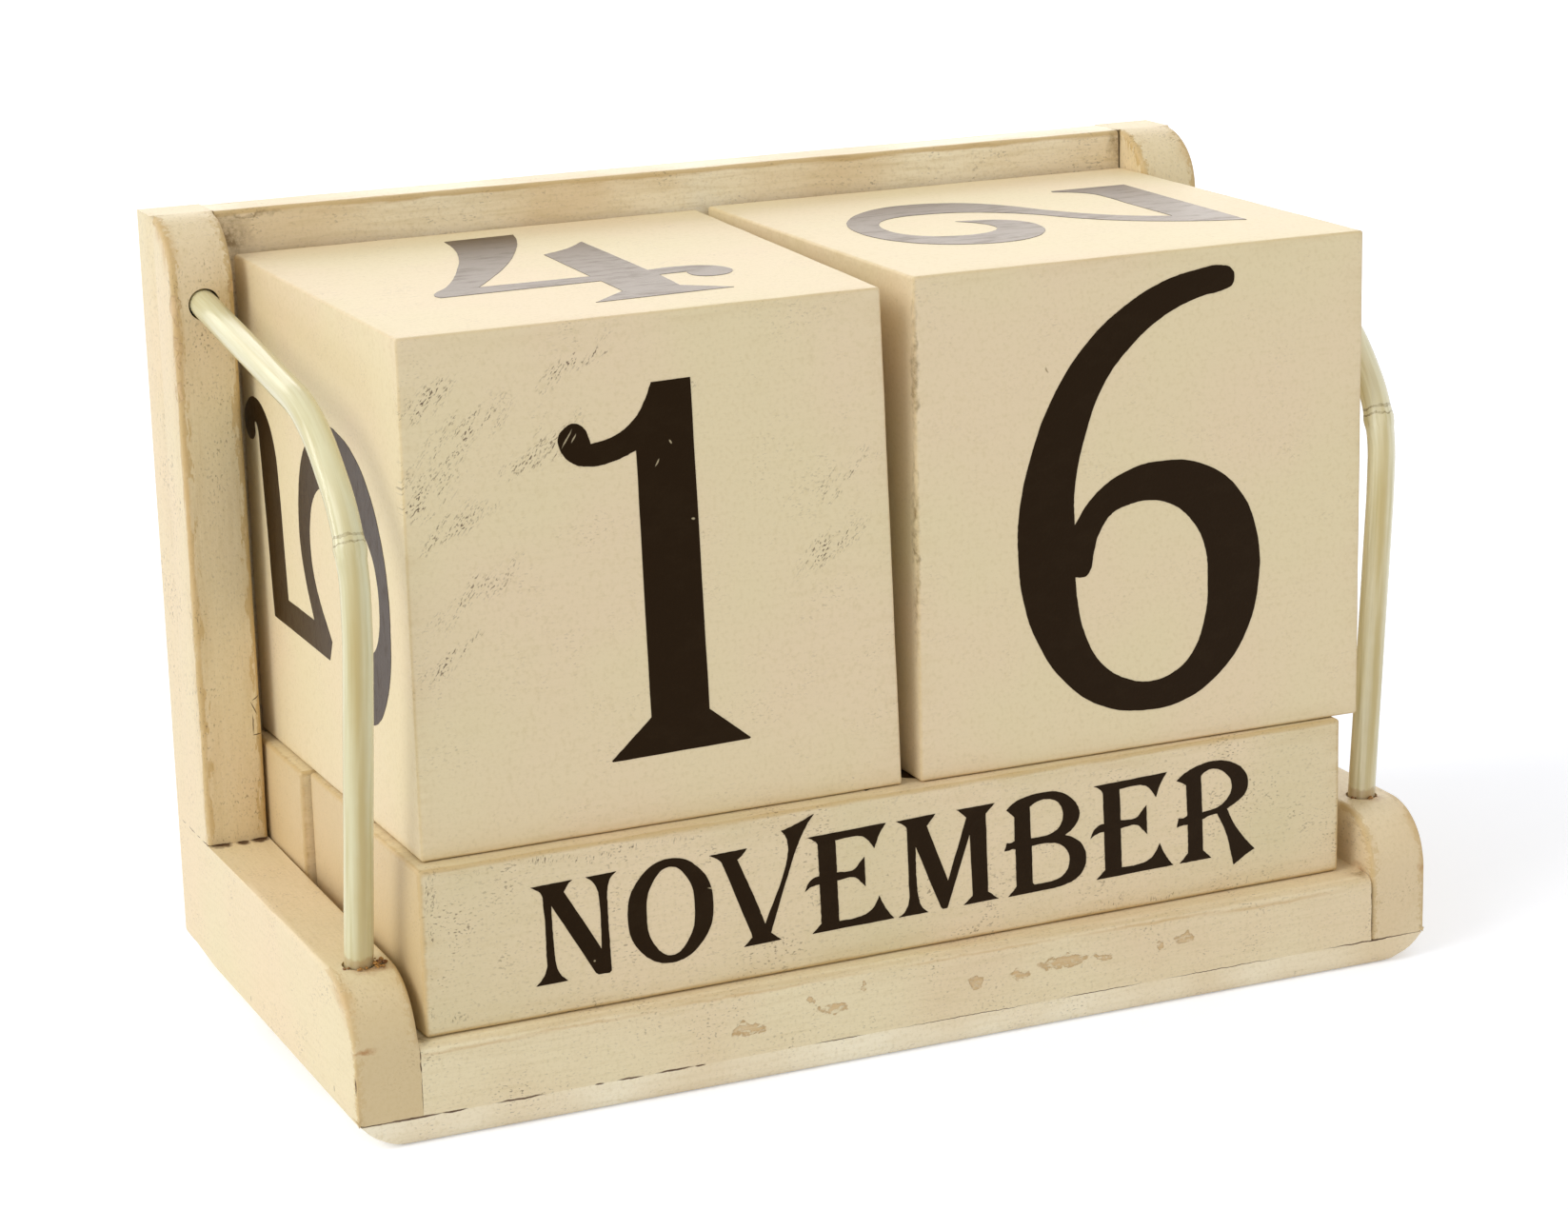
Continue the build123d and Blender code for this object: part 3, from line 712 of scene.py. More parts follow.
def finish(piece, body, slot, material, *nodes):
    """Smooths, paints and hands a piece to its body."""
    pick(piece)
    bpy.ops.object.shade_smooth_by_angle(angle=math.radians(SMOOTH_BELOW))
    piece.data.materials.clear()
    piece.data.materials.append(material)
    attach(piece, body)
    if nodes:
        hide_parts(*nodes)
    print(f"{piece.name}: {len(piece.data.polygons)} faces")


def level_with(value):
    """A test of whether numbers lie at one place, to a hundredth of a millimetre."""
    return lambda *numbers: all(abs(n - value) < 0.01 * MM for n in numbers)


# %% [markdown]
# ## The way of the cane rods
# Each rod leaves a slanting hole in a post, bends forward and down over a shoulder and a knee,
# and runs nearly upright into a hole in the arm. Its corners are worked out here, before the
# boards, because both holes follow its two end runs.

# %% The way of the cane rods
ROD_RADIUS = 1.7
ROD_BELOW_TOP = 9.9
POST_DEPTH, ARM_DEPTH = 8.0, 9.0
HOLE_PLAY, HOLE_PAST_ROD = 0.25, 0.5
SHOULDER_BEHIND_FOOT = 6.6
SHOULDER_DOWN, KNEE_DOWN, SHANK_DOWN = 5.5, 16.8, 28.7
KNEES = {"left": (-33.8, -33.5, 0), "right": (-30.7, -30.3, 1.5)}
RINGS_UP = {"left": 59.2, "right": 58.2}


def rod_corners(hand):
    """The rod's two ends and its three corners, and its two mouths, in millimetres. A hand's knee
    is given by its own y, the y of the shank below it, and how far the knee is dropped."""
    post_low, post_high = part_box(f"{hand}_post")
    arm_low, arm_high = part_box(f"{hand}_arm")
    x = (arm_low.x + arm_high.x) / 2 / MM
    mouth = Vector((x, post_low.y / MM, post_high.z / MM - ROD_BELOW_TOP))
    foot = Vector((x, arm_low.y / MM + ROD_FROM_NOSE, arm_high.z / MM))
    knee_y, shank_y, drop = KNEES[hand]
    bends = [Vector((x, foot.y + SHOULDER_BEHIND_FOOT, mouth.z - SHOULDER_DOWN)),
        Vector((x, knee_y, mouth.z - KNEE_DOWN - drop)),
        Vector((x, shank_y, mouth.z - SHANK_DOWN))]
    into_post = (mouth - bends[0]).normalized()
    into_arm = (foot - bends[-1]).normalized()
    ends = [mouth + into_post * POST_DEPTH, foot + into_arm * ARM_DEPTH]
    return ends, bends, (mouth, into_post), (foot, into_arm)


for hand in ("left", "right"):
    _, _, (mouth, _), (foot, _) = rod_corners(hand)
    print(hand, "rod mouth", [round(c, 1) for c in mouth], "foot", [round(c, 1) for c in foot])

# %% [markdown]
# ## Arms and posts
# Arms and posts are the same kind of board on edge: the front top corner is sawn to a nose and
# the rims of both faces are eased, up to where another board is joined on: an arm carries its
# post there and a post meets the panel. The foot and the back stay sharp, because the painted
# joint is tight. The nose is one bevel with many segments, and the slanting holes for the rods
# are cut with a boolean, a little wider than the rod.

# %% Arms and posts
RIM_EASE, HEEL_EASE = 0.6, 0.9
NOSE_SEGMENTS, RIM_SEGMENTS = 14, 3


def side_board(name, node, nose_radius, material, joined_from, mouth, inward, depth):
    """A board on edge with a rounded front top corner and a drilled hole, in its node's place.
    An edge beside the rail stays sharp too, because paint fills the joint there."""
    low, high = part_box(node)
    inner, outer = sorted((low.x, high.x), key=abs)
    board = blank(name, low, high)
    front, top, foot, back = (level_with(v) for v in (low.y, high.z, low.z, high.y))
    faces = [level_with(low.x), level_with(high.x)]
    round_edges(board, lambda a, b: front(a.y, b.y) and top(a.z, b.z), nose_radius,
        NOSE_SEGMENTS)
    cut_across(board, 1, joined_from)
    rail_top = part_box("floor_board")[1].z
    beside_rail, outside = level_with(inner), level_with(outer)
    if low.z < rail_top:
        round_edges(board, lambda a, b: foot(a.z, b.z) and outside(a.x, b.x), HEEL_EASE,
            RIM_SEGMENTS)
    round_edges(board, lambda a, b: any(side(a.x, b.x) for side in faces)
        and not foot(a.z, b.z) and not back(a.y, b.y) and max(a.y, b.y) < joined_from + 0.01 * MM
        and not (beside_rail(a.x, b.x) and max(a.z, b.z) < rail_top),
        RIM_EASE, RIM_SEGMENTS, rim=half_way(0))
    cut_up(board)
    drill(board, mouth * MM, inward, (ROD_RADIUS + HOLE_PLAY) * MM,
        (depth + HOLE_PAST_ROD) * MM)
    rub_rims(board)
    finish(board, "tray", "cream_paint_boards", material, node)


ARM_NOSE, POST_NOSE = {"left": 8.5, "right": 7.4}, 8.0
post_front, panel_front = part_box("left_post")[0].y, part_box("back_panel")[0].y
for hand in ("left", "right"):
    _, _, (mouth, into_post), (foot, into_arm) = rod_corners(hand)
    side_board(f"{hand}_arm_painted", f"{hand}_arm", ARM_NOSE[hand], paint_arm[hand], post_front,
        foot, into_arm, ARM_DEPTH)
    side_board(f"{hand}_post_painted", f"{hand}_post", POST_NOSE, paint_post, panel_front, mouth,
        into_post, POST_DEPTH)

# %% [markdown]
# ## Panel, rail and base
# The back panel and the thick floor board run across. Only the panel's top edges and the front
# edge of the floor board, the rail, are eased. The thin base board curves up underneath at both
# ends and along its front: its underside is cut into strips, which are then lifted to the curve.

# %% Back panel and floor board
low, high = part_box("back_panel")
panel = blank("back_panel_painted", low, high)
panel_top = level_with(high.z)
panel_ends = [level_with(low.x), level_with(high.x)]
round_edges(panel, lambda a, b: panel_top(a.z, b.z) and not any(e(a.x, b.x) for e in panel_ends),
    RIM_EASE, RIM_SEGMENTS, rim=half_way(2))
cut_up(panel)
rub_rims(panel)
finish(panel, "tray", "cream_paint_boards", paint_panel, "back_panel")

RAIL_ROUND, ROUND_SEGMENTS = 1.2, 5
low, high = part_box("floor_board")
rail = blank("floor_board_painted", low, high)
rail_front, rail_top = level_with(low.y), level_with(high.z)
round_edges(rail, lambda a, b: rail_front(a.y, b.y) and rail_top(a.z, b.z), RAIL_ROUND,
    ROUND_SEGMENTS, rim=half_way(2))
cut_up(rail)
rub_rims(rail)
finish(rail, "tray", "cream_paint_boards", paint_rail, "floor_board")

# %% Base board
BASE_END_RUN = 6.8 * MM
BASE_FRONT_ROUND = 1.2 * MM
BASE_SET_IN = Vector((0.4, 0, 0)) * MM
END_STRIPS, FRONT_STRIPS = 8, 4
low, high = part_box("base_board")
low, high = low + BASE_SET_IN, high - BASE_SET_IN
base = blank("base_board_painted", low, high)
thickness = high.z - low.z
end_radius = (BASE_END_RUN**2 + thickness**2) / (2 * thickness)
strips = [(0, side * (high.x - BASE_END_RUN * i / END_STRIPS)) for side in (-1, 1)
    for i in range(END_STRIPS + 1)]
strips += [(1, low.y + BASE_FRONT_ROUND * i / FRONT_STRIPS) for i in range(1, FRONT_STRIPS + 1)]
cut_up(base, strips)


def underside(x, y):
    """Height of the base board's underside above the desk."""
    into_end = max(0.0, abs(x) - (high.x - BASE_END_RUN))
    into_front = max(0.0, low.y + BASE_FRONT_ROUND - y)
    end = end_radius - math.sqrt(max(0.0, end_radius**2 - into_end**2))
    front = BASE_FRONT_ROUND - math.sqrt(max(0.0, BASE_FRONT_ROUND**2 - into_front**2))
    return max(end, front)


for vertex in base.data.vertices:
    lift = underside(vertex.co.x, vertex.co.y)
    vertex.co.z = max(vertex.co.z, min(lift, high.z))
bpy.context.view_layer.objects.active = base
bpy.ops.object.mode_set(mode="EDIT")
bpy.ops.mesh.select_all(action="SELECT")
bpy.ops.mesh.remove_doubles(threshold=0.01 * MM)
bpy.ops.mesh.dissolve_degenerate(threshold=0.005 * MM)
bpy.ops.object.mode_set(mode="OBJECT")
rub_rims(base)
finish(base, "tray", "cream_paint_boards", paint_base, "base_board")

# %% [markdown]
# ## Number cubes and month bars
# A block is made square at the origin, in its own millimetres, and laid in the tray by a matrix,
# because two blocks stand slightly turned, as loose blocks do. The cubes aren't quite true
# either: the left one was sawn a little out of square, and the right one a trace too tall. A
# small warp of every point gives them that, and their printed numbers follow it.

# %% Blocks
CUBE_EASE, BAR_EASE = 0.4, 0.5
BLOCK_RUB_DEPTH = 0.08
LEFT_CUBE_LEAN, LEFT_CUBE_RISE = (-1.7, 3.0), (-0.35, 0.5)
RIGHT_CUBE_SHIFT, RIGHT_CUBE_RISE = (0.7, -0.4), 0.5
cube_low, cube_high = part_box("date_cube_right")
bar_low, bar_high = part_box("month_bar_middle")
CUBE = (cube_high.z - cube_low.z) / MM
BAR_LENGTH = (bar_high.x - bar_low.x) / MM
BAR = (bar_high.z - bar_low.z) / MM
print("cube", round(CUBE, 2), "bar", round(BAR_LENGTH, 2), "by", round(BAR, 2), "mm")


def no_warp(p):
    """The place of a point of a true block: where it was."""
    return p


def along_depth(pair, p):
    """A value at a point of a cube, from its value at the front and its growth to the rear."""
    at_front, growth = pair
    return at_front + growth * p.y / CUBE


def left_cube_warp(p):
    """The place of a point of the left cube, whose right side and top lean out of square."""
    lean, rise = along_depth(LEFT_CUBE_LEAN, p), along_depth(LEFT_CUBE_RISE, p)
    return p + Vector((p.x / CUBE * lean, 0, rise)) * (p.z / CUBE)


def right_cube_warp(p):
    """The place of a point of the right cube: it is taller, with its front moved to the right."""
    shift = along_depth(RIGHT_CUBE_SHIFT, p)
    return p + Vector((shift, 0, RIGHT_CUBE_RISE * p.z / CUBE))


def block_matrix(node, size, turn):
    """From a block's own millimetres to its place in the tray, turned about its middle."""
    low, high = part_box(node)
    middle = Matrix.Translation((low + high) / 2) @ Matrix.Rotation(math.radians(turn), 4, "Z")
    return middle @ Matrix.Scale(MM, 4) @ Matrix.Translation(-Vector(size) / 2)


def lay(piece, matrix, warp=no_warp):
    """Takes a piece from a block's millimetres to the tray."""
    for vertex in piece.data.vertices:
        vertex.co = matrix @ warp(vertex.co)


def block(name, node, size, turn, ease, body, material, warp=no_warp):
    """A loose block with eased edges. Returns the matrix that lays things on it."""
    piece = blank(name, Vector(), Vector(size) * MM)
    round_edges(piece, lambda a, b: True, ease, ROUND_SEGMENTS,
        rim=lambda normal: max(abs(c) for c in normal) < 0.8)
    cut_up(piece)
    rub_rims(piece, BLOCK_RUB_DEPTH)
    matrix = block_matrix(node, size, turn)
    lay(piece, matrix @ Matrix.Scale(1 / MM, 4), lambda p: warp(p / MM) * MM)
    finish(piece, body, "cream_paint_blocks", material, node)
    return matrix


cube_size = (CUBE, CUBE, CUBE)
bar_size = (BAR_LENGTH, BAR, BAR)
LEFT_CUBE_TURN, FRONT_BAR_TURN = 0.8, 1.05
on_left_cube = block("left_cube_painted", "date_cube_left", cube_size, LEFT_CUBE_TURN, CUBE_EASE,
    "cube_left", paint_scratched_cube, left_cube_warp)
on_right_cube = block("right_cube_painted", "date_cube_right", cube_size, 0, CUBE_EASE,
    "cube_right", paint_cube, right_cube_warp)
on_front_bar = block("front_bar_painted", "month_bar_front", bar_size, FRONT_BAR_TURN, BAR_EASE,
    "bar_front", paint_bar)
on_middle_bar = block("middle_bar_painted", "month_bar_middle", bar_size, 0, BAR_EASE,
    "bar_middle", paint_bar)
on_rear_bar = block("rear_bar_painted", "month_bar_rear", bar_size, 0, BAR_EASE,
    "bar_rear", paint_bar)

# %% [markdown]
# ## Ink
# The numbers and months are printed in black-brown ink through a hand-cut stencil, so the edge is
# slightly ragged and the film is thin with a satin shine. Straight on it is nearly black and at a
# low angle it is lighter. The specular tint is brown, which darkens only what is reflected
# straight back, and a weak brown sheen stands for the fine dust on it. Scuffed streaks are
# rougher, and in a few places the ink is rubbed thin and the paint shows through.

# %% Ink material
INK, INK_SCUFFED = "#090502", "#120C05"
INK_SHINE, INK_DUST = "#A88055", "#DCA05C"
RAGGED_INK = (0.8, 0.06)
INK_FLAWS = [((-29.6, CUBE_FRONT, 74.2), (0.11, 1.0, 0.5), -30),
    ((-27.9, CUBE_FRONT, 76.4), (0.12, 1.0, 0.3), 30),
    ((-25.4, CUBE_FRONT, 67.2), (0.25, 1.0, 0.15), 0),
    ((-40.3, CUBE_FRONT, 78.1), (0.1, 1.0, 1.25), -33),
    ((-39.5, CUBE_FRONT, 78.1), (0.09, 1.0, 0.6), -30),
    ((-25.6, -34.0, 23.9), (0.55, 1.0, 0.09), -8), ((-4.4, -33.6, 15.7), (0.16, 1.0, 0.25), 0),
    ((-19.3, -33.8, 19.8), (0.25, 1.0, 0.16), 0), ((-40.6, -34.2, 25.2), (0.12, 1.0, 0.16), 0),
    ((-40.4, -34.2, 17.6), (0.13, 1.0, 0.13), 0)]


def printed_ink(name):
    """Black-brown stencil ink with a satin shine, scuffs and a few bare spots."""
    material, tree = new_material(name)
    place = add(tree, "ShaderNodeTexCoord", out=3)
    across = add(tree, "ShaderNodeMapping", {"Vector": place,
        "Scale": (per_mm(5), per_mm(1.2), per_mm(3))})
    cloud = add(tree, "ShaderNodeTexNoise", {"Vector": across, "Scale": 1.0, "Detail": 6.0,
        "Roughness": 0.7})
    scuff = add(tree, "ShaderNodeMapRange", {"Value": cloud, "From Min": 0.5, "From Max": 0.66})
    colour = blend_in(tree, scuff, to_linear(INK), INK_SCUFFED)
    rough = add(tree, "ShaderNodeMapRange", {"Value": scuff, "To Min": 0.34, "To Max": 0.44})
    away = nearest_oval(tree, shifted(tree, place, *RAGGED_INK), INK_FLAWS)
    flaw = add(tree, "ShaderNodeMapRange", {"Value": away, "From Min": 1.1, "From Max": 0.6,
        "To Max": 0.5})
    colour = blend_in(tree, flaw, colour, PAINT)
    grit = add(tree, "ShaderNodeTexNoise", {"Vector": place, "Scale": per_mm(0.4), "Detail": 2.0})
    height = add(tree, "ShaderNodeMath", {0: grit, 1: 0.02}, operation="MULTIPLY")
    relief = add(tree, "ShaderNodeBump", {"Height": height, "Strength": 1.0, "Distance": MM})
    film = add(tree, "ShaderNodeBsdfPrincipled", {"Base Color": colour, "Roughness": rough,
        "IOR": 1.5, "Specular Tint": to_linear(INK_SHINE), "Sheen Weight": 0.16,
        "Sheen Roughness": 0.4, "Sheen Tint": to_linear(INK_DUST), "Normal": relief})
    add(tree, "ShaderNodeOutputMaterial", {"Surface": film})
    return material


ink = printed_ink("black_brown_ink")

# %% [markdown]
# ## Numbers and letters
# An outline is a list of points in millimetres, each "x,y", and a point with ~ after it is passed
# smoothly. A letter is a flat curve with one closed line for its outside and one for each hole,
# given a little thickness and made a mesh. Letters stand on the line y = 0 and start at x = 0,
# and numbers are placed on the 60 mm face of a cube.

# %% Outlines
NUMBERS = {
    "0": ["30,51~ 41,46.5~ 46.4,36~ 46.8,24~ 42,12~ 33,6.8~ 25,8~ 17,15.5~ 13.6,27~ 15,39~ 21,48~",
        "30.5,48.2~ 36,43.5~ 38.6,34~ 38.4,22~ 34.5,12.5~ 29.5,9.8~ 24.5,13~ 21.6,23~ 21.8,35~"
        " 25,45~"],
    "1": ["30.4,52 35.3,52.1 35.75,13 40.8,8.8 40.6,8.65 23.5,8.35 23.4,8.5 28.5,13 28.2,44.4"
        " 25.5,43.5~ 22.5,43.2~ 20.2,43.9~ 18.9,45.6~ 18.8,47~ 19.7,48~ 20.7,48.3~ 21.9,47.7~"
        " 22.4,46.7~ 22.7,45.75 25.4,46.3~ 28,47.9~ 29.4,49.8~"],
    "2": ["48.8,5.9 49,16.4 48.3,16.6 46.7,14.5~ 44.5,13~ 41,12.6~ 36,12.7 23.8,12.7 25.8,16~"
        " 29.8,20~ 35.3,23.5~ 42.5,27~ 46.2,30~ 48,33~ 48.9,36.5~ 48.6,40.5~ 46,45~ 42.3,48.2~"
        " 38,50.3~ 33.5,51.1~ 28.5,50.8~ 24.5,49.4~ 20.7,46.5~ 18.4,42.5~ 17.7,38.5~ 18.6,35~"
        " 21.5,31.7~ 26,29.9~ 30,30.3~ 32.3,32~ 33.6,34.5~ 34.3,37.4 32,35.7~ 29.5,34.9~"
        " 27,35.3~ 25.2,37~ 24.5,39.2~ 24.9,42.5~ 26.5,45.2~ 29.5,47~ 33,47.4~ 36.5,46.7~"
        " 39.5,44.8~ 41,42~ 41.2,38.5~ 40.2,34~ 37.6,30~ 34.2,26.8~ 29,23.7~ 24.5,20~"
        " 20.9,15.5~ 18.4,11~ 16.6,6.4"],
    "3": ["14.5,45.5 17.5,50.5~ 23.5,53.5~ 30.5,53.8~ 37.5,51~ 41,45.5~ 40,39~ 34.5,34 41.5,31~"
        " 45.5,25~ 45,17.5~ 39.5,9.8~ 30.5,6~ 20.5,6.5~ 13,11 14.8,15 20.5,10.8~ 27.5,9.6~"
        " 34,12.5~ 37.6,19~ 36,26~ 30,30~ 22.5,30.2 22.5,33.4 28.5,34.6~ 32.8,38.8~ 33.2,44.5~"
        " 30,49.2~ 24.8,50.4~ 19.5,48.2~ 16.6,44.3"],
    "4": ["24.6,54 33.6,54.3 32.6,50~ 30,43.2~ 26,35~ 21.5,27.8~ 18.5,23.5 32.3,23.2 32.3,39.3"
        " 36,41.6~ 39.3,45.3 39.7,23.5 43.2,23.8~ 46.7,22.8~ 48.6,20.2~ 48.3,17.7~ 46,16.2~"
        " 43.6,17.2~ 43.2,19.2~ 43.4,20.2 39.9,20.1 39.6,12.8 44.8,8.6 27.2,8 32.4,12.8"
        " 32.4,19.9 12.4,19.6 12.2,21.2~ 15.2,25.5~ 19.8,35~ 23,44~ 24.3,50~"],
    "5": ["20,45.3 27,45.9~ 34,46.5~ 38.5,47.5~ 41.7,50~ 43.3,54.5~ 42.3,57.5~ 40.3,59.1~"
        " 38.3,58.4~ 37.7,56.6~ 38.7,55.1~ 40.2,54.8~ 39.8,54~ 37,53.4~ 31.5,52.8~ 26,52.2~"
        " 20,51.7~ 16.6,51.3 16.3,29.8 18.8,28.6 20.2,30 23,32.7~ 26,34.5~ 29,35.1~ 32,34.7~"
        " 35,33.1~ 37.3,29.5~ 38.3,25~ 37.6,20~ 35.4,15.5~ 33,12~ 30,10.5~ 27,10.2~ 24.3,10.7~"
        " 22,12.2~ 21.1,13.6~ 20,17~ 18.6,20~ 16.4,21.6~ 14.2,21~ 12.6,18.5~ 12.3,15~ 13.2,12.5~"
        " 15.5,10~ 20,7.5~ 25,6.7~ 30,6.8~ 36,8.7~ 41,12.5~ 43.8,17~ 45.1,22~ 45.3,26~"
        " 43.6,31.5~ 40.8,35.3~ 38.5,37.1~ 34.5,38.6~ 30.5,39.1~ 28.5,39~ 24.5,37.7~ 19.9,35.1"],
    "6": ["42.8,56.5~ 42.5,57.5~ 41,58.1~ 38,57.9~ 33,56.8~ 28,54.4~ 23,50.5~ 18.5,44.5~"
        " 15.5,37.5~ 13.9,30.5~ 13.8,26~ 14.3,21~ 16.2,15.2~ 20,9.6~ 25,6~ 30.5,4.75~ 36,5.2~"
        " 41,8~ 44.6,12.5~ 46.4,19~ 46.1,25~ 43.8,30.3~ 39.3,34~ 33,35.3~ 27.5,34.3~ 23.5,31.7~"
        " 21.3,28.8 21.3,33~ 22.6,39~ 25.2,45.3~ 28.8,49.5~ 33.4,52.8~ 38.3,54.6~ 41.3,55.1~"
        " 42.5,55.6~",
        "21.35,22.45 22.1,22.35~ 22.9,22.5~ 23.5,23.4~ 23.8,25~ 24.6,27.5~ 26.4,29.7~ 28.8,30.5~"
        " 31,30.7~ 34,30~ 36.8,27.9~ 38.8,24.5~ 39.35,20~ 38.9,15~ 37.2,11~ 34.8,9~ 31.5,8.25~"
        " 28.3,9~ 25,11.2~ 22.8,14.8~ 21.7,19~"],
    "7": ["13.5,52.5 46.5,52.8 44,48~ 37.5,36~ 31,22~ 26.5,8 17.5,8 24.5,24.5~ 31.5,37~ 37,45.2"
        " 24.5,45~ 18,44~ 14.6,40.5"],
    "8": ["30,56~ 38.5,53.8~ 42.5,47.5~ 40.5,40.5~ 34.8,35.8~ 42,31.5~ 46.5,24~ 45,14.5~ 38.5,8~"
        " 30,6~ 21.5,8~ 15,14.5~ 13.6,23~ 17.5,30.5~ 24,35~ 19,40~ 17.5,46.5~ 21.5,53.5~",
        "30.5,52.8~ 34.8,50.5~ 35.8,45.8~ 33.5,40.5~ 29.6,37.6~ 25.5,41~ 24,46.5~ 26,51.2~",
        "29.5,31.8~ 35.5,28.5~ 38.6,22~ 37.5,15~ 33,10.5~ 28.5,9.6~ 24,12~ 21,17.5~ 21.2,24.5~"
        " 24.6,29.8~"],
}
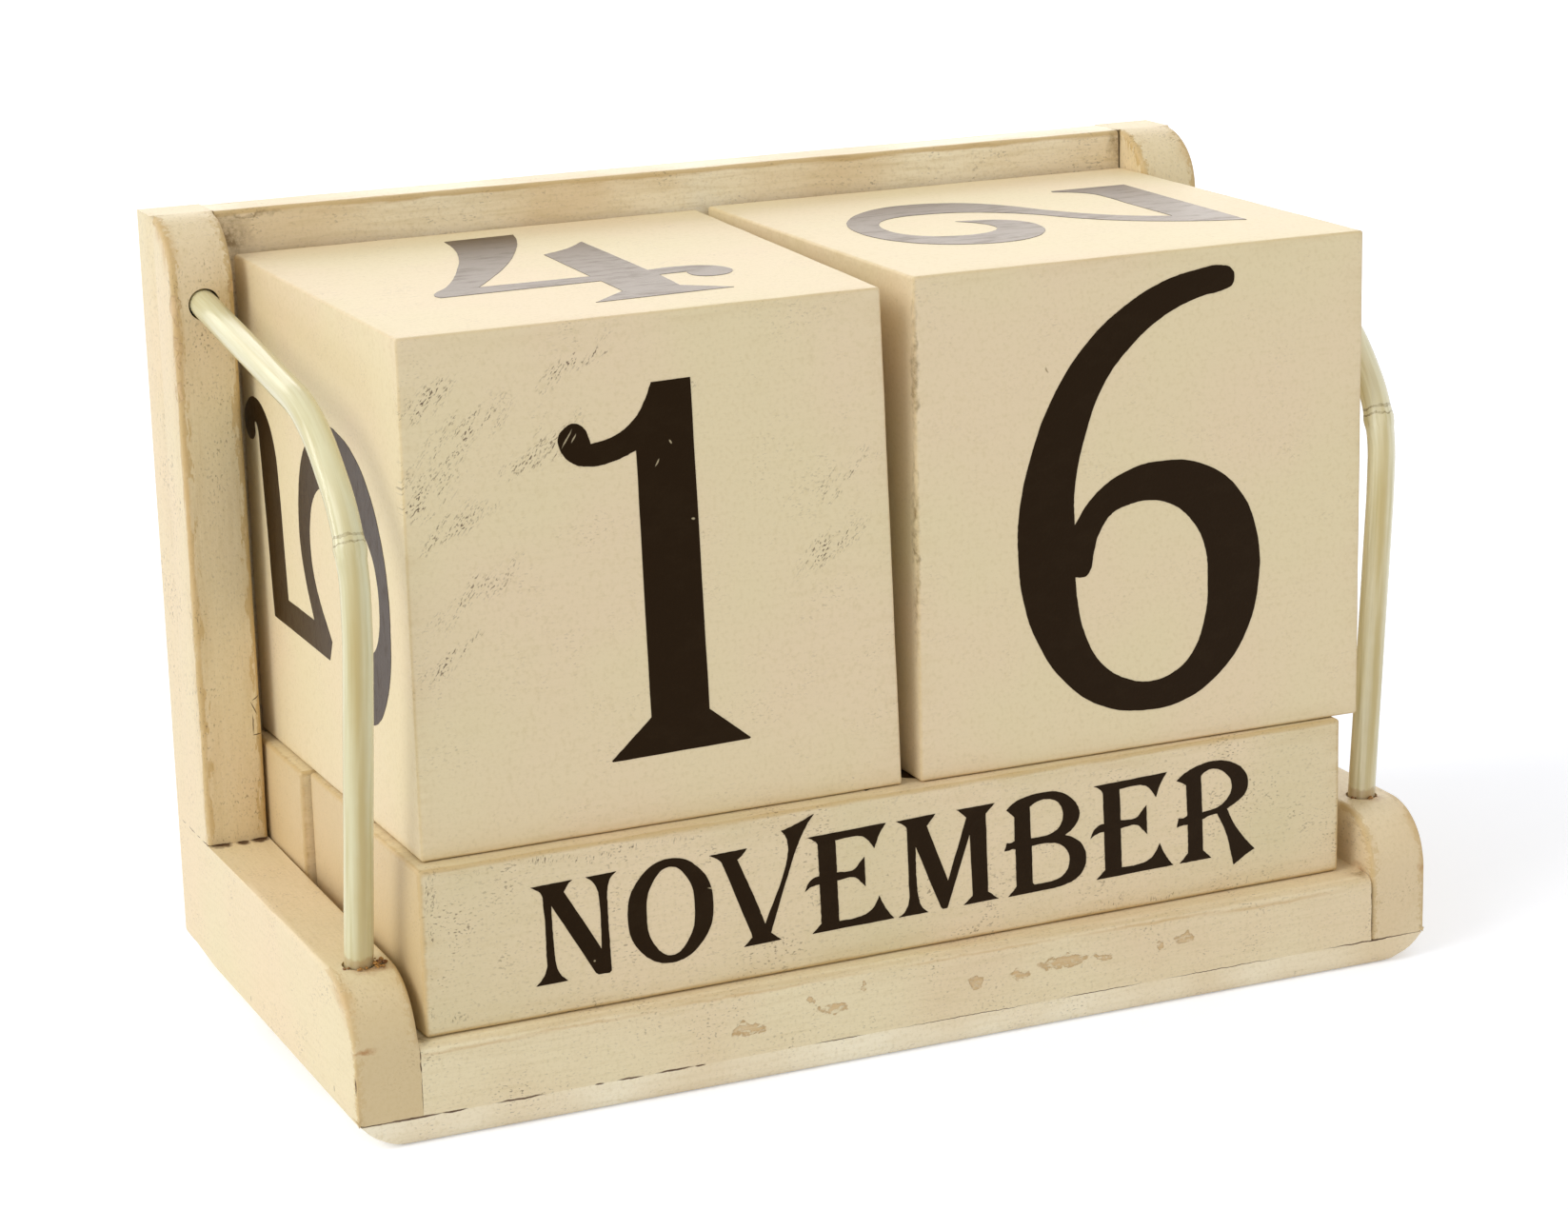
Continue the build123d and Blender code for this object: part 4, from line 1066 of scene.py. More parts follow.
LETTERS = {
    "A": (11.9, ["5.4,12.6 6.5,12 10.7,1.8~ 11.3,0.8~ 12.1,0 7.5,0 8.2,0.7~ 8.2,1.5~ 7.3,4 3.6,4"
        " 2.8,1.7~ 2.8,0.8~ 3.5,0 0,0 0.9,0.8~ 1.6,2~ 5.2,11.2", "4,5 6.9,5 5.5,8.8"]),
    "B": (11.7, ["0.35,10.85 1.4,11.65~ 2.9,12.1~ 5.4,12.3~ 7.4,12.05~ 9.2,10.95~ 10.1,9.65~"
        " 10.25,8.75~ 9.8,7.65~ 9,6.9~ 8.25,6.45 9.4,5.95~ 10.7,4.65~ 11.1,3.05~ 10.7,1.65~"
        " 9.6,0.65~ 7.6,0.1~ 5.9,0 0.4,-0.05 1.4,0.85 1.55,1.15 1.5,5.8 1,5.9~ 0.7,5.8 0,5.8"
        " 0.35,6.75 1,6.7~ 1.4,6.85 1.4,9.85 0.9,10.35~",
        "3.5,10.8 4.4,11.25~ 5.7,11.4~ 7.3,10.75~ 8,9.15~ 7.5,7.65~ 6.3,6.95~ 4.9,6.8~ 3.6,6.8",
        "3.7,5.85 5.9,5.85~ 7.6,5.35~ 8.6,4.25~ 8.8,3.05~ 8.3,1.75~ 7,1.05~ 5.4,0.9~ 4,0.9"
        " 3.75,1.15"]),
    "C": (10.9, ["10,11 10.2,8.2 9.3,9.6~ 8,10.7~ 6.6,11.1~ 4.6,10.2~ 3.3,8.2~ 2.9,5.9~ 3.4,3.3~"
        " 4.9,1.4~ 7,0.9~ 9,1.6~ 10.4,3 9.7,1.2~ 8,0~ 5.8,-0.4~ 2.9,0.5~ 0.9,2.8~ 0.2,5.8~"
        " 0.9,9~ 3.1,11.5~ 6.2,12.4~ 8.4,12~"]),
    "D": (12.2, ["0,10.7 1.2,11.5~ 3.2,12.1~ 5.5,12.2~ 8.6,11.3~ 10.8,8.8~ 11.5,6~ 10.8,3.2~"
        " 8.6,0.8~ 5.6,0~ 0.4,0 1.3,0.9~ 1.6,1.8~ 1.5,9.9 0.8,10.3~",
        "3.5,10.9 4.4,11.1~ 5.6,11.1~ 7.7,10.2~ 9,8.2~ 9.4,5.9~ 8.8,3.3~ 7.3,1.5~ 5.2,1~"
        " 3.65,1.3"]),
    "E": (12.0, ["0.55,11.9 10.7,12.05 9.9,10.95~ 9.1,9.15 8.5,10.05~ 7.8,10.75~ 6.7,11.05~"
        " 4.1,11 4.2,7 6.5,7.05~ 7.1,7.65~ 7.8,8.35 7.85,4.65 7.2,5.35~ 6.5,6~ 4.2,6 4.3,1"
        " 6.7,1~ 8.3,1.45~ 9.1,2.25~ 9.6,3.2 10.1,2.05~ 10.9,0.75~ 11.5,0.05 0.8,0 2,1.05"
        " 1.9,5.95 1.3,5.9~ 0.7,5.75~ 0,5.35 0.6,6.45~ 1.4,6.9~ 1.9,6.95 1.8,10.85 1.4,11.35~"]),
    "F": (10.4, ["0.5,11.9 10.2,12.05 9.5,10.9~ 8.8,9.2 8.2,10.1~ 7.5,10.75~ 6.4,11~ 4.1,11"
        " 4.15,7 6.3,7.05~ 6.9,7.6~ 7.6,8.35 7.65,4.65 7,5.35~ 6.3,6~ 4.15,6 4.15,1.8~ 4.5,0.9~"
        " 5.4,0 0.4,0 1.4,0.9~ 1.85,1.8~ 1.9,5.95 1.3,5.9~ 0.7,5.75~ 0,5.35 0.6,6.45~ 1.4,6.9~"
        " 1.9,6.95 1.8,10.85 1.4,11.35~"]),
    "G": (12.0, ["10,11 10.2,8.2 9.3,9.6~ 8,10.7~ 6.6,11.1~ 4.6,10.2~ 3.3,8.2~ 2.9,5.9~ 3.4,3.2~"
        " 5,1.2~ 7,0.7~ 8.5,1.1 8.5,3.8~ 8.2,4.7~ 7.3,5.5 11.6,5.5 10.8,4.7~ 10.5,3.8~ 10.5,0.9"
        " 8.6,-0.1~ 5.9,-0.4~ 2.9,0.5~ 0.9,2.8~ 0.2,5.8~ 0.9,9~ 3.1,11.5~ 6.2,12.4~ 8.4,12~"]),
    "H": (12.4, ["0.4,12 4.9,12 4.2,11.2~ 3.9,10.2~ 3.9,6.9 8.2,6.9 8.2,10.2~ 7.9,11.2~ 7.1,12"
        " 11.6,12 10.8,11.2~ 10.4,10.2~ 10.4,1.8~ 10.8,0.9~ 11.7,0 7.1,0 7.9,0.9~ 8.2,1.8~"
        " 8.2,5.9 3.9,5.9 3.9,1.8~ 4.2,0.9~ 5,0 0.4,0 1.3,0.9~ 1.7,1.8~ 1.7,10.2~ 1.3,11.2~"]),
    "I": (6.0, ["0.5,12 5.1,12 4.3,11.2~ 4,10.2~ 4,1.8~ 4.3,0.9~ 5.2,0 0.4,0 1.4,0.9~ 1.75,1.8~"
        " 1.75,10.2~ 1.4,11.2~"]),
    "J": (7.2, ["1.6,12 6.3,12 5.5,11.2~ 5.2,10.2~ 5.2,3~ 4.7,0.6~ 3.4,-1.4~ 1.6,-2.4~ 0.2,-2.2~"
        " -0.3,-1.2~ 0.2,-0.3~ 1.1,-0.2~ 1.7,-0.9~ 2.3,-0.6~ 2.9,0.6~ 3,2.6~ 3,10.2~"
        " 2.6,11.2~"]),
    "L": (10.6, ["0.5,12 5.1,12 4.3,11.2~ 4,10.2~ 4.1,1 6.5,1~ 8.2,1.5~ 9,2.4~ 9.5,3.4 10,1.8~"
        " 10.9,0 0.4,0 1.4,0.9~ 1.75,1.8~ 1.75,10.2~ 1.4,11.2~"]),
    "M": (14.3, ["0,11.95 5.2,12.05 4.6,11.35~ 4.05,10.75 6.7,3.45 9.3,10.85 8.7,11.45~ 8,12.05"
        " 13.1,12.05 11.9,10.95 12,1.15 13.4,0.05 8.7,0 9.9,0.95 9.95,1.25 9.7,8.75 6.6,0.25"
        " 6.5,0.05 5.9,0.05 5.7,0.25 2.5,8.45 2.55,3.95~ 2.8,1.75~ 3.2,0.75~ 4,0 0.1,0"
        " 0.9,0.55~ 1.45,1.65~ 1.5,3.95~ 1.4,10.85 1.1,11.25~"]),
    "N": (11.65, ["0,11.85 5.1,11.95 4.55,11.5~ 4,10.7 8.3,3.05 8.25,8.95~ 8,10.45~ 7.35,11.45~"
        " 6.7,11.95 10.5,12 9.75,11.35~ 9.35,10.25~ 9.25,8.35~ 9.3,4.35~ 9.4,0.25 9.15,0"
        " 7.75,0.05 7.45,0.3 2.4,9.3 2.5,4.35~ 2.65,2.35~ 3.05,1.05~ 4,0 0.15,0 0.85,0.65~"
        " 1.45,1.65~ 1.55,3.85~ 1.45,9.35~ 1.2,10.95~"]),
    "O": (10.4, ["5.35,12.4~ 9.2,10.5~ 10.7,6.1~ 9.2,1.7~ 5.35,-0.2~ 1.5,1.7~ 0,6.1~ 1.5,10.5~",
        "5.35,11.4~ 7.5,9.8~ 8.35,6.05~ 7.5,2.3~ 5.35,0.7~ 3.2,2.3~ 2.35,6.05~ 3.2,9.8~"]),
    "P": (10.6, ["0,10.7 1.2,11.5~ 3.2,12.2~ 5.5,12.4~ 7.8,11.8~ 9.5,10.3~ 10,8.6~ 9.3,6.7~"
        " 7.6,5.4~ 5.6,5~ 3.65,5.1 3.7,1.8~ 4,0.9~ 4.9,0.05 0.4,0.05 1.3,0.9~ 1.6,1.8~"
        " 1.55,4.85 0.9,4.9~ 0,4.75 0.3,5.85 1,5.8~ 1.5,6 1.35,9.9 0.8,10.3~",
        "3.45,10.8 4.2,11.3~ 5.3,11.4~ 6.9,10.6~ 7.7,8.9~ 7.2,7.1~ 5.9,6.2~ 4.6,6~ 3.6,6.1"]),
    "R": (11.4, ["0,10.7 1.2,11.5~ 3.2,12.2~ 5.5,12.4~ 7.7,11.9~ 9.5,10.6~ 10.1,9.1~ 9.7,7.6~"
        " 8.7,6.8~ 7.1,6 8,4.1~ 9.6,1.8~ 11,0.2 9.7,-0.4~ 8,-1.4 7.6,0.4~ 7,2.8~ 5.7,5.6"
        " 4.7,5.55~ 3.6,5.2 3.7,1.2 4.9,0.05 0.4,0.05 1.6,1.2 1.55,4.85 0.9,4.9~ 0,4.75"
        " 0.3,5.85 1,5.8~ 1.5,6 1.35,9.9 0.8,10.3~",
        "3.45,10.8 4.2,11.3~ 5.3,11.4~ 6.9,10.6~ 7.8,8.9~ 7.3,7.5~ 6,6.5~ 4.7,6.2~ 3.6,6.1"]),
    "S": (9.4, ["7.6,11.4 7.9,8.8 7,10.2~ 5.6,11.1~ 4,11.2~ 2.9,10.3~ 2.9,9~ 4,7.8~ 6,6.7~"
        " 7.8,5.2~ 8.3,3.2~ 7.4,1.1~ 5.2,-0.2~ 3,-0.3~ 0.9,0.4 0.4,3.3 1.5,1.9~ 3.1,0.9~"
        " 4.8,0.9~ 6,1.9~ 5.9,3.2~ 4.6,4.4~ 2.6,5.5~ 1,7~ 0.7,9~ 1.7,11.1~ 3.9,12.3~ 6,12.1~"]),
    "T": (10.8, ["0.2,12 10.2,12.05 10.5,8.8 9.9,9.9~ 9,10.7~ 7.6,11~ 6.4,11 6.4,1.8~ 6.7,0.9~"
        " 7.6,0 3,0 3.9,0.9~ 4.15,1.8~ 4.15,11 2.8,11~ 1.3,10.6~ 0.5,9.8~ -0.1,8.7"]),
    "U": (11.8, ["0.4,12 4.9,12 4.1,11.2~ 3.85,10.2~ 3.85,4.6~ 4.3,2.5~ 5.6,1.3~ 7.3,1.3~"
        " 8.5,2.6~ 8.9,4.6~ 8.9,10.2~ 8.6,11.2~ 7.8,12 11.2,12 10.3,11.2~ 10,10.2~ 9.9,4.4~"
        " 9.2,1.6~ 7.6,0.1~ 5.7,-0.3~ 3.4,0.4~ 2,2.3~ 1.65,4.6~ 1.65,10.2~ 1.3,11.2~"]),
    "V": (11.95, ["0,11.85 4.75,11.95 4.25,11.35~ 3.5,10.75 5.95,4.65~ 6.75,2.35 9.85,9.95~"
        " 9.95,11.65~ 9.65,12.65~ 9.15,13.3 10.85,13.75~ 13.35,14.65 12.35,13.35~ 11.15,11.15~"
        " 9.85,7.85~ 7.65,1.75 7.45,1.15 8.05,0.65 8.75,0.05 3.95,0 5.05,0.95 4.95,1.45"
        " 1.75,10.15 1.35,10.95~"]),
    "Y": (11.0, ["0.1,12 4.7,12 4.1,11.4~ 4,10.8~ 6.3,6.9 8.3,10.6~ 8.4,11.4~ 7.9,12 11.4,12"
        " 10.5,11.4~ 9.8,10.5~ 7,5.6 7,1.8~ 7.3,0.9~ 8.2,0 3.6,0 4.5,0.9~ 4.8,1.8~ 4.8,5.4"
        " 1.6,10.6~ 0.9,11.4~"]),
}
print(len(NUMBERS), "numbers,", len(LETTERS), "letters")

# %% Outlines to printed films
INK_FILM = 0.10
RAGGED, RAGS_PER_MM = 0.05, 2.2
CURVE_STEPS = 10
WELD = 0.005


def add_line(curve, outline, shift):
    """Adds one closed line to a flat curve, from its outline text."""
    marks = outline.split()
    line = curve.splines.new("BEZIER")
    line.bezier_points.add(len(marks) - 1)
    line.use_cyclic_u = True
    for mark, point in zip(marks, line.bezier_points):
        x, y = (float(n) for n in mark.rstrip("~").split(","))
        point.co = shift @ Vector((x, y, 0))
        kind = "AUTO" if mark.endswith("~") else "VECTOR"
        point.handle_left_type = kind
        point.handle_right_type = kind
    for point in line.bezier_points:
        point.handle_left_type = "FREE"
        point.handle_right_type = "FREE"


def film(name, figures):
    """A thin ink film of several (outlines, shift) pairs, lying on z = 0, in millimetres."""
    curve = bpy.data.curves.new(name, "CURVE")
    curve.dimensions = "2D"
    curve.fill_mode = "BOTH"
    curve.resolution_u = CURVE_STEPS
    curve.extrude = INK_FILM / 2
    for outlines, shift in figures:
        for outline in outlines:
            add_line(curve, outline, shift)
    piece = as_mesh(name, curve)
    bpy.ops.object.mode_set(mode="EDIT")
    bpy.ops.mesh.select_all(action="SELECT")
    bpy.ops.mesh.remove_doubles(threshold=WELD)
    bpy.ops.mesh.normals_make_consistent(inside=False)
    bpy.ops.object.mode_set(mode="OBJECT")
    for vertex in piece.data.vertices:
        spot = Vector((vertex.co.x, vertex.co.y, 0)) * RAGS_PER_MM
        vertex.co.x += RAGGED * noise.noise(spot)
        vertex.co.y += RAGGED * noise.noise(spot + Vector((0, 0, 7)))
    return piece


X, Y, Z = Vector((1, 0, 0)), Vector((0, 1, 0)), Vector((0, 0, 1))


def face_matrix(size, outward, up):
    """From a face's own plane, x to the right and y up, to the block's millimetres."""
    right = up.cross(outward)
    corner = Vector(size) / 2
    for direction in (right, up):
        corner -= direction * abs(direction.dot(Vector(size))) / 2
    corner += outward * abs(outward.dot(Vector(size))) / 2
    turn = Matrix((right, up, outward)).transposed().to_4x4()
    return Matrix.Translation(corner) @ turn


def press(piece, size, outward, up, on_block, body, warp=no_warp):
    """Presses a film onto a face of a block and hands it to the block's body."""
    on_face = face_matrix(size, outward, up)
    lay(piece, on_block, lambda p: warp(on_face @ p))
    finish(piece, body, "printed_ink", ink)


def print_number(digit, face, outward, up, which, on_block, body, warp=no_warp):
    """One number on one face of a cube."""
    piece = film(f"{which}_cube_{face}_number_{digit}", [(NUMBERS[digit], Matrix.Identity(4))])
    press(piece, cube_size, outward, up, on_block, body, warp)


LEFT_NUMBERS = [("1", "front", -Y, Z), ("4", "top", Z, Y), ("5", "left", -X, Y),
    ("0", "right", X, Z), ("3", "rear", Y, Z), ("2", "under", -Z, -Y)]
RIGHT_NUMBERS = [("6", "front", -Y, Z), ("2", "top", Z, -X), ("7", "left", -X, Z),
    ("8", "right", X, Z), ("0", "rear", Y, Z), ("1", "under", -Z, -Y)]
TOP_NUMBER_SHIFT = Vector((-0.9, -2.5, 0))


def right_number_warp(face, outward):
    """A number on the right cube stays in line with its face, and the top one is off middle."""
    offset = TOP_NUMBER_SHIFT if face == "top" else Vector()
    return lambda p: p + outward * outward.dot(right_cube_warp(p) - p) + offset


for digit, face, outward, up in LEFT_NUMBERS:
    print_number(digit, face, outward, up, "left", on_left_cube, "cube_left", left_cube_warp)
for digit, face, outward, up in RIGHT_NUMBERS:
    print_number(digit, face, outward, up, "right", on_right_cube, "cube_right",
        right_number_warp(face, outward))

# %% [markdown]
# A month name is one film too, of a row of letters, each moved on by the widths of those before
# it. The name on the front of the front bar starts off the middle and rises a little, as when the
# stencil is held by hand.

# %% Month names
BASE_LINE = 3.8
FRONT_WORD_START, FRONT_WORD_RISE = 13.3, 0.5


def print_month(month, face, outward, up, which, on_block, body, start=None, rise=0.0):
    """A month name along one face of a bar, in the middle of it if no start is given."""
    length = sum(LETTERS[c][0] for c in month)
    x = (BAR_LENGTH - length) / 2 if start is None else start
    lean = Matrix.Rotation(math.radians(rise), 4, "Z")
    figures = []
    for letter in month:
        advance, outlines = LETTERS[letter]
        figures.append((outlines, Matrix.Translation((0, BASE_LINE, 0)) @ lean
            @ Matrix.Translation((x, 0, 0))))
        x += advance
    piece = film(f"{which}_bar_{face}_{month.lower()}", figures)
    press(piece, bar_size, outward, up, on_block, body)


FACES = [("front", -Y, Z), ("top", Z, Y), ("rear", Y, Z), ("under", -Z, -Y)]
MONTHS = {
    "front": (on_front_bar, ["NOVEMBER", "FEBRUARY", "MAY", "AUGUST"]),
    "middle": (on_middle_bar, ["DECEMBER", "MARCH", "JUNE", "SEPTEMBER"]),
    "rear": (on_rear_bar, ["JANUARY", "APRIL", "JULY", "OCTOBER"]),
}
for which, (on_block, months) in MONTHS.items():
    for month, (face, outward, up) in zip(months, FACES):
        facing = which == "front" and face == "front"
        print_month(month, face, outward, up, which, on_block, f"bar_{which}",
            FRONT_WORD_START if facing else None, FRONT_WORD_RISE if facing else 0)

# %% [markdown]
# ## Cane guard rods
# The rods are thin cane, bent over steam into a shoulder, a knee and a long slight curve, with
# one growth ring. A curve follows straight runs and arcs between them, a bevel gives it the
# thickness of cane, and the radius at each point makes the ring and small unevenness. Below the
# ring a bud was cut off, and its scar stands out a little. The piece keeps its own coordinates,
# the height above its low end and the place across, so that streaks run along the cane through
# every bend.

# %% Cane paint
CANE, CANE_PALE, CANE_OLIVE, CANE_OCHRE_AND_SHADE = "#E0DAB1", "#F4EDCB", "#CABE8A", "#C4AE70"
CANE_STAIN, RING_LINE = "#9A5E26", "#8F7E52"
STREAK_LENGTH, STREAK_WIDTH = 26, 0.8
# The ochre ovals run down the side of each rod that faces the front: partly an ochre streak in the
# paint and partly painted shade, for the deeper colour in the middle of a glossy rod.
CANE_FRONT_STREAK_AND_SHADE = [((24.0, -0.1, 1.6), (22.0, 0.75, 1.0), 0),
    ((44.0, -0.5, 1.5), (16.0, 0.75, 1.0), 0)]
RAGGED_STREAK = (5, 0.15)
RING_CREASES = ((0.45, 0.14), (-0.35, 0.1))


def painted_cane(name, paint, ring_up):
    """Gloss paint on cane: streaks along it, a creased growth ring and a stain at its foot."""
    material, tree = new_material(name)
    wrap = add(tree, "ShaderNodeAttribute", out=1, attribute_name="cane_place")
    stretch = add(tree, "ShaderNodeMapping", {"Vector": wrap,
        "Scale": (per_mm(STREAK_LENGTH), per_mm(STREAK_WIDTH), per_mm(STREAK_WIDTH))})
    streak = add(tree, "ShaderNodeTexNoise", {"Vector": stretch, "Scale": 1.0, "Detail": 4.0,
        "Roughness": 0.6})
    olive = add(tree, "ShaderNodeMapRange", {"Value": streak, "From Min": 0.42, "From Max": 0.7,
        "To Max": 0.9})
    colour = blend_in(tree, olive, to_linear(paint), CANE_OLIVE)
    # Ochre band down the front side of the rod, which is a streak and painted shade.
    away = nearest_oval(tree, shifted(tree, wrap, *RAGGED_STREAK), CANE_FRONT_STREAK_AND_SHADE)
    ochre = add(tree, "ShaderNodeMapRange", {"Value": away, "From Min": 1.6, "From Max": 0.3,
        "To Max": 0.85})
    colour = blend_in(tree, ochre, colour, CANE_OCHRE_AND_SHADE)
    up = add(tree, "ShaderNodeSeparateXYZ", {0: wrap})
    speckle = add(tree, "ShaderNodeTexNoise", {"Vector": wrap, "Scale": per_mm(0.9),
        "Detail": 4.0})
    wander = add(tree, "ShaderNodeMath", {0: speckle, 1: 1.6 * MM, 2: up},
        operation="MULTIPLY_ADD")
    foot = add(tree, "ShaderNodeMapRange", {"Value": wander, "From Min": (ARM_DEPTH + 1.0) * MM,
        "From Max": (ARM_DEPTH + 0.6) * MM, "To Max": 0.35})
    colour = blend_in(tree, foot, colour, CANE_STAIN)
    waver = add(tree, "ShaderNodeMath", {0: speckle, 1: 0.9 * MM, 2: up},
        operation="MULTIPLY_ADD")
    crease = 0.0
    for above, half in RING_CREASES:
        line = add(tree, "ShaderNodeMath", {0: waver, 1: (ring_up + above) * MM, 2: half * MM},
            operation="COMPARE")
        crease = add(tree, "ShaderNodeMath", {0: line, 1: crease}, operation="MAXIMUM")
    broken = add(tree, "ShaderNodeMapRange", {"Value": streak, "From Min": 0.4,
        "From Max": 0.6, "To Min": 0.3, "To Max": 0.75})
    crease = add(tree, "ShaderNodeMath", {0: crease, 1: broken}, operation="MULTIPLY")
    colour = blend_in(tree, crease, colour, RING_LINE)
    height = add(tree, "ShaderNodeMath", {0: streak, 1: 0.05}, operation="MULTIPLY")
    height = add(tree, "ShaderNodeMath", {0: crease, 1: -0.1, 2: height},
        operation="MULTIPLY_ADD")
    relief = add(tree, "ShaderNodeBump", {"Height": height, "Strength": 1.0, "Distance": MM})
    skin = add(tree, "ShaderNodeBsdfPrincipled", {"Base Color": colour, "Roughness": 0.22,
        "Normal": relief})
    add(tree, "ShaderNodeOutputMaterial", {"Surface": skin})
    return material


# The right cane gets the paler paint, which is painted light on the right side.
cane_paint = {"left": painted_cane("gloss_paint_on_left_cane", CANE, RINGS_UP["left"]),
    "right": painted_cane("gloss_paint_on_right_cane", CANE_PALE, RINGS_UP["right"])}

# %% Guard rods
ROD_STEP = 0.7
BEND_RADII = (22.0, 15.5, 36.0)
RING_SWELL, RING_WIDTH, RING_STEEPNESS = 0.2, 1.4, 3
UNEVEN, UNEVEN_LENGTH = 0.03, 14
BUD_BELOW_RING, BUD_HEIGHT, BUD_SIZE = 3.0, 0.4, 0.75
BUD_SIDE = (-0.92, 0.39)
ROD_SIDES = 7


def bent_line(corners, radii, step):
    """Points along straight runs joined by arcs of the given radii, about `step` apart."""
    points = [corners[0]]
    for before, corner, after, radius in zip(corners, corners[1:], corners[2:], radii):
        back = (before - corner).normalized()
        ahead = (after - corner).normalized()
        half = (math.pi - back.angle(ahead)) / 2
        trim = radius * math.tan(half)
        middle = corner + (back + ahead).normalized() * (radius / math.cos(half))
        spoke = corner + back * trim - middle
        axis = ahead.cross(back)
        count = max(2, round(2 * half * radius / step))
        for i in range(count + 1):
            points.append(middle + Quaternion(axis, 2 * half * i / count) @ spoke)
    points.append(corners[-1])
    even = [points[0]]
    for start, end in zip(points, points[1:]):
        count = max(1, round((end - start).length / step))
        even += [start.lerp(end, i / count) for i in range(1, count + 1)]
    return even


def cane_rod(hand, seed):
    """One bent cane rod, from its end in the post to its end in the arm, in millimetres."""
    ends, bends, *_ = rod_corners(hand)
    line = bent_line([ends[0], *bends, ends[1]], BEND_RADII, ROD_STEP)
    length = sum((b - a).length for a, b in zip(line, line[1:]))
    curve = bpy.data.curves.new(f"{hand}_cane_rod", "CURVE")
    curve.dimensions = "3D"
    curve.bevel_depth = ROD_RADIUS
    curve.bevel_resolution = ROD_SIDES
    curve.use_fill_caps = True
    spline = curve.splines.new("POLY")
    spline.points.add(len(line) - 1)
    gone = 0.0
    heights = []
    for i, place in enumerate(line):
        gone += (place - line[i - 1]).length if i else 0
        up = length - gone
        heights.append(up)
        from_ring = (up - RINGS_UP[hand]) / RING_WIDTH
        swell = RING_SWELL / ROD_RADIUS * math.exp(-(from_ring**2) * RING_STEEPNESS)
        uneven = UNEVEN * noise.noise(Vector((gone / UNEVEN_LENGTH, seed, 0)))
        spline.points[i].co = (*place, 1)
        spline.points[i].radius = 1 + swell + uneven
    piece = as_mesh(f"{hand}_cane_rod", curve)
    wrap = piece.data.attributes.new("cane_place", "FLOAT_VECTOR", "POINT")
    around = len(piece.data.vertices) // len(line)
    for vertex in piece.data.vertices:
        ring = min(vertex.index // around, len(line) - 1)
        out = vertex.co - line[ring]
        ahead = line[min(ring + 1, len(line) - 1)] - line[max(ring - 1, 0)]
        across = out.dot(X)
        over = out.dot(ahead.normalized().cross(X))
        wrap.data[vertex.index].vector = (heights[ring] * MM, across * MM, over * MM)
        below = heights[ring] - (RINGS_UP[hand] - BUD_BELOW_RING)
        beside = Vector((across, over)) - Vector(BUD_SIDE) * ROD_RADIUS
        bud = math.exp(-(below**2 + beside.length_squared) / BUD_SIZE**2)
        vertex.co += out.normalized() * (BUD_HEIGHT * bud)
        vertex.co *= MM
    finish(piece, "tray", "painted_cane", cane_paint[hand], f"{hand}_guard_rod")
    print(f"{hand} rod: {length:.1f} mm long, {around} sides")


cane_rod("left", seed=-5)
cane_rod("right", seed=5)

# %% [markdown]
# Where the rods were pushed into the wet paint, crumbs of varnish and sawdust dried around their
# feet. Each crumb is a small ball, flattened and dented by a noise, and all of them are joined
# to one piece.

# %% Crumbs at the rods' feet
CRUMB_RED, CRUMB_GOLD = "#6E3E12", "#B8863F"
CRUMB_SIZES, CRUMB_FLATNESS = (0.1, 0.27), 0.7
DENT_PATCH, DENT_DEPTH = 0.5, 0.5
PILE = 0.5


def dried_varnish(name):
    """Dried varnish and sawdust: orange brown, glossy, changing from crumb to crumb."""
    material, tree = new_material(name)
    place = add(tree, "ShaderNodeTexCoord", out=3)
    cloud = add(tree, "ShaderNodeTexNoise", {"Vector": place, "Scale": per_mm(0.8),
        "Detail": 3.0})
    shade = add(tree, "ShaderNodeMapRange", {"Value": cloud, "From Min": 0.4, "From Max": 0.6})
    colour = blend_in(tree, shade, to_linear(CRUMB_RED), CRUMB_GOLD)
    height = add(tree, "ShaderNodeMath", {0: cloud, 1: 0.08}, operation="MULTIPLY")
    relief = add(tree, "ShaderNodeBump", {"Height": height, "Strength": 1.0, "Distance": MM})
    crust = add(tree, "ShaderNodeBsdfPrincipled", {"Base Color": colour, "Roughness": 0.4,
        "Normal": relief})
    add(tree, "ShaderNodeOutputMaterial", {"Surface": crust})
    return material


def crumbs(hand, heaps, seed):
    """Crumbs around a rod's foot. A heap is its count, its middle and half width in degrees, 0
    to the right and -90 to the front, and how far it spreads out from the rod."""
    chance = random.Random(seed)
    *_, (foot, _) = rod_corners(hand)
    balls = []
    for middle, half, spread in [heap[1:] for heap in heaps for _ in range(heap[0])]:
        angle = math.radians(middle + half * chance.uniform(-1, 1))
        size = chance.uniform(*CRUMB_SIZES)
        out = chance.uniform(0, 1.0)
        away = ROD_RADIUS + HOLE_PLAY * 0.6 + out * spread
        rise = size * 0.1 + chance.uniform(0, PILE) * (1 - out) * spread
        spot = foot + Vector((math.cos(angle) * away, math.sin(angle) * away, rise))
        bpy.ops.object.select_all(action="DESELECT")
        bpy.ops.mesh.primitive_ico_sphere_add(subdivisions=2, radius=size * MM,
            location=spot * MM, scale=(1, 1, CRUMB_FLATNESS))
        ball = bpy.context.object
        bpy.ops.object.transform_apply(location=True, rotation=True, scale=True)
        for vertex in ball.data.vertices:
            dent = noise.noise(vertex.co * per_mm(DENT_PATCH))
            vertex.co += (vertex.co - spot * MM) * (DENT_DEPTH * dent)
        balls.append(ball)
    for ball in balls:
        ball.select_set(True)
    bpy.context.view_layer.objects.active = balls[0]
    bpy.ops.object.join()
    balls[0].name = f"{hand}_rod_foot_crumbs"
    finish(balls[0], "tray", "painted_cane", varnish)


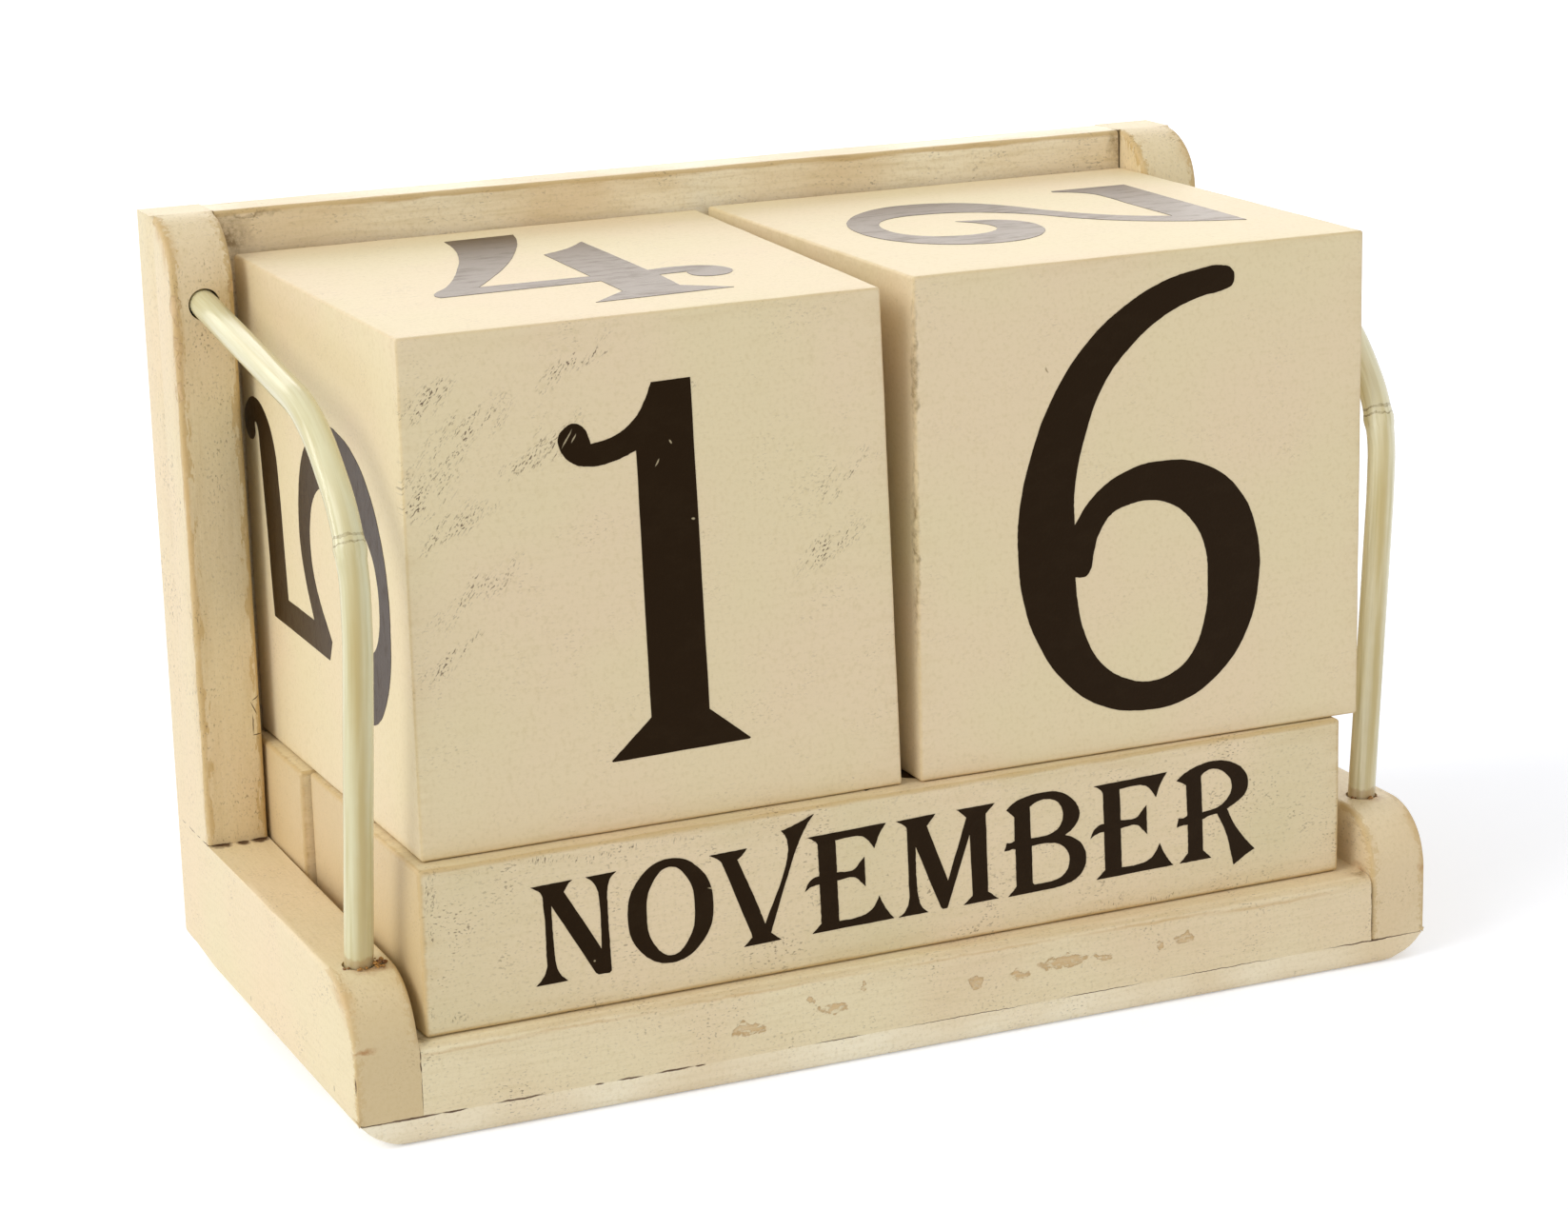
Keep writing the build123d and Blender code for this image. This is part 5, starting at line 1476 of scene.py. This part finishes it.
varnish = dried_varnish("dried_varnish_crumbs")
crumbs("left", [(34, -32, 24, 1.4), (8, -96, 20, 0.5), (4, -150, 10, 0.5)], seed=3)
crumbs("right", [(4, -60, 40, 0.15), (3, -140, 20, 0.15)], seed=8)

# %% [markdown]
# ## Hidden fixings
# Beech dowels hold the posts and steel brads hold the boards. They are inside the wood and stay
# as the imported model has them, each with the finish of the real thing.

# %% Beech and steel
BEECH_PALE, BEECH_DARK, STEEL_GREY = "#D2A679", "#A97B4C", "#B9B9BC"


def bare_beech(name):
    """Sawn beech: pale brown with fine darker flecks along the dowel."""
    material, tree = new_material(name)
    place = add(tree, "ShaderNodeTexCoord", out=3)
    along = add(tree, "ShaderNodeMapping", {"Vector": place,
        "Scale": (per_mm(0.6), per_mm(0.6), per_mm(8))})
    fleck = add(tree, "ShaderNodeTexNoise", {"Vector": along, "Scale": 1.0, "Detail": 4.0})
    colour = blend_in(tree, fleck, to_linear(BEECH_PALE), BEECH_DARK)
    relief = add(tree, "ShaderNodeBump", {"Height": fleck, "Strength": 0.3, "Distance": 0.1 * MM})
    wood = add(tree, "ShaderNodeBsdfPrincipled", {"Base Color": colour, "Roughness": 0.7,
        "Normal": relief})
    add(tree, "ShaderNodeOutputMaterial", {"Surface": wood})
    return material


def drawn_steel(name):
    """Drawn wire: grey steel with fine lines along the brad."""
    material, tree = new_material(name)
    place = add(tree, "ShaderNodeTexCoord", out=3)
    along = add(tree, "ShaderNodeMapping", {"Vector": place,
        "Scale": (per_mm(0.15), per_mm(0.15), per_mm(6))})
    lines = add(tree, "ShaderNodeTexNoise", {"Vector": along, "Scale": 1.0, "Detail": 3.0})
    rough = add(tree, "ShaderNodeMapRange", {"Value": lines, "To Min": 0.25, "To Max": 0.5})
    relief = add(tree, "ShaderNodeBump", {"Height": lines, "Strength": 0.3,
        "Distance": 0.05 * MM})
    metal = add(tree, "ShaderNodeBsdfPrincipled", {"Base Color": to_linear(STEEL_GREY),
        "Metallic": 1.0, "Roughness": rough, "Normal": relief})
    add(tree, "ShaderNodeOutputMaterial", {"Surface": metal})
    return material


beech, steel = bare_beech("bare_beech_wood"), drawn_steel("drawn_steel_wire")
for node, material in (("left_post_dowel", beech), ("right_post_dowel", beech),
        ("base_brads", steel), ("panel_brads", steel)):
    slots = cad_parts[node].data.materials
    slots.clear()
    slots.append(material)

# %% [markdown]
# ## Sizes
# The box of all that is shown is printed in millimetres. Held against the box of the imported
# model, it tells whether paint, ink and crumbs add only their own thickness.

# %% Sizes, and the end
low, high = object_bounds()
print("visual box, mm:", [round(v / MM, 2) for v in (*low, *high)])
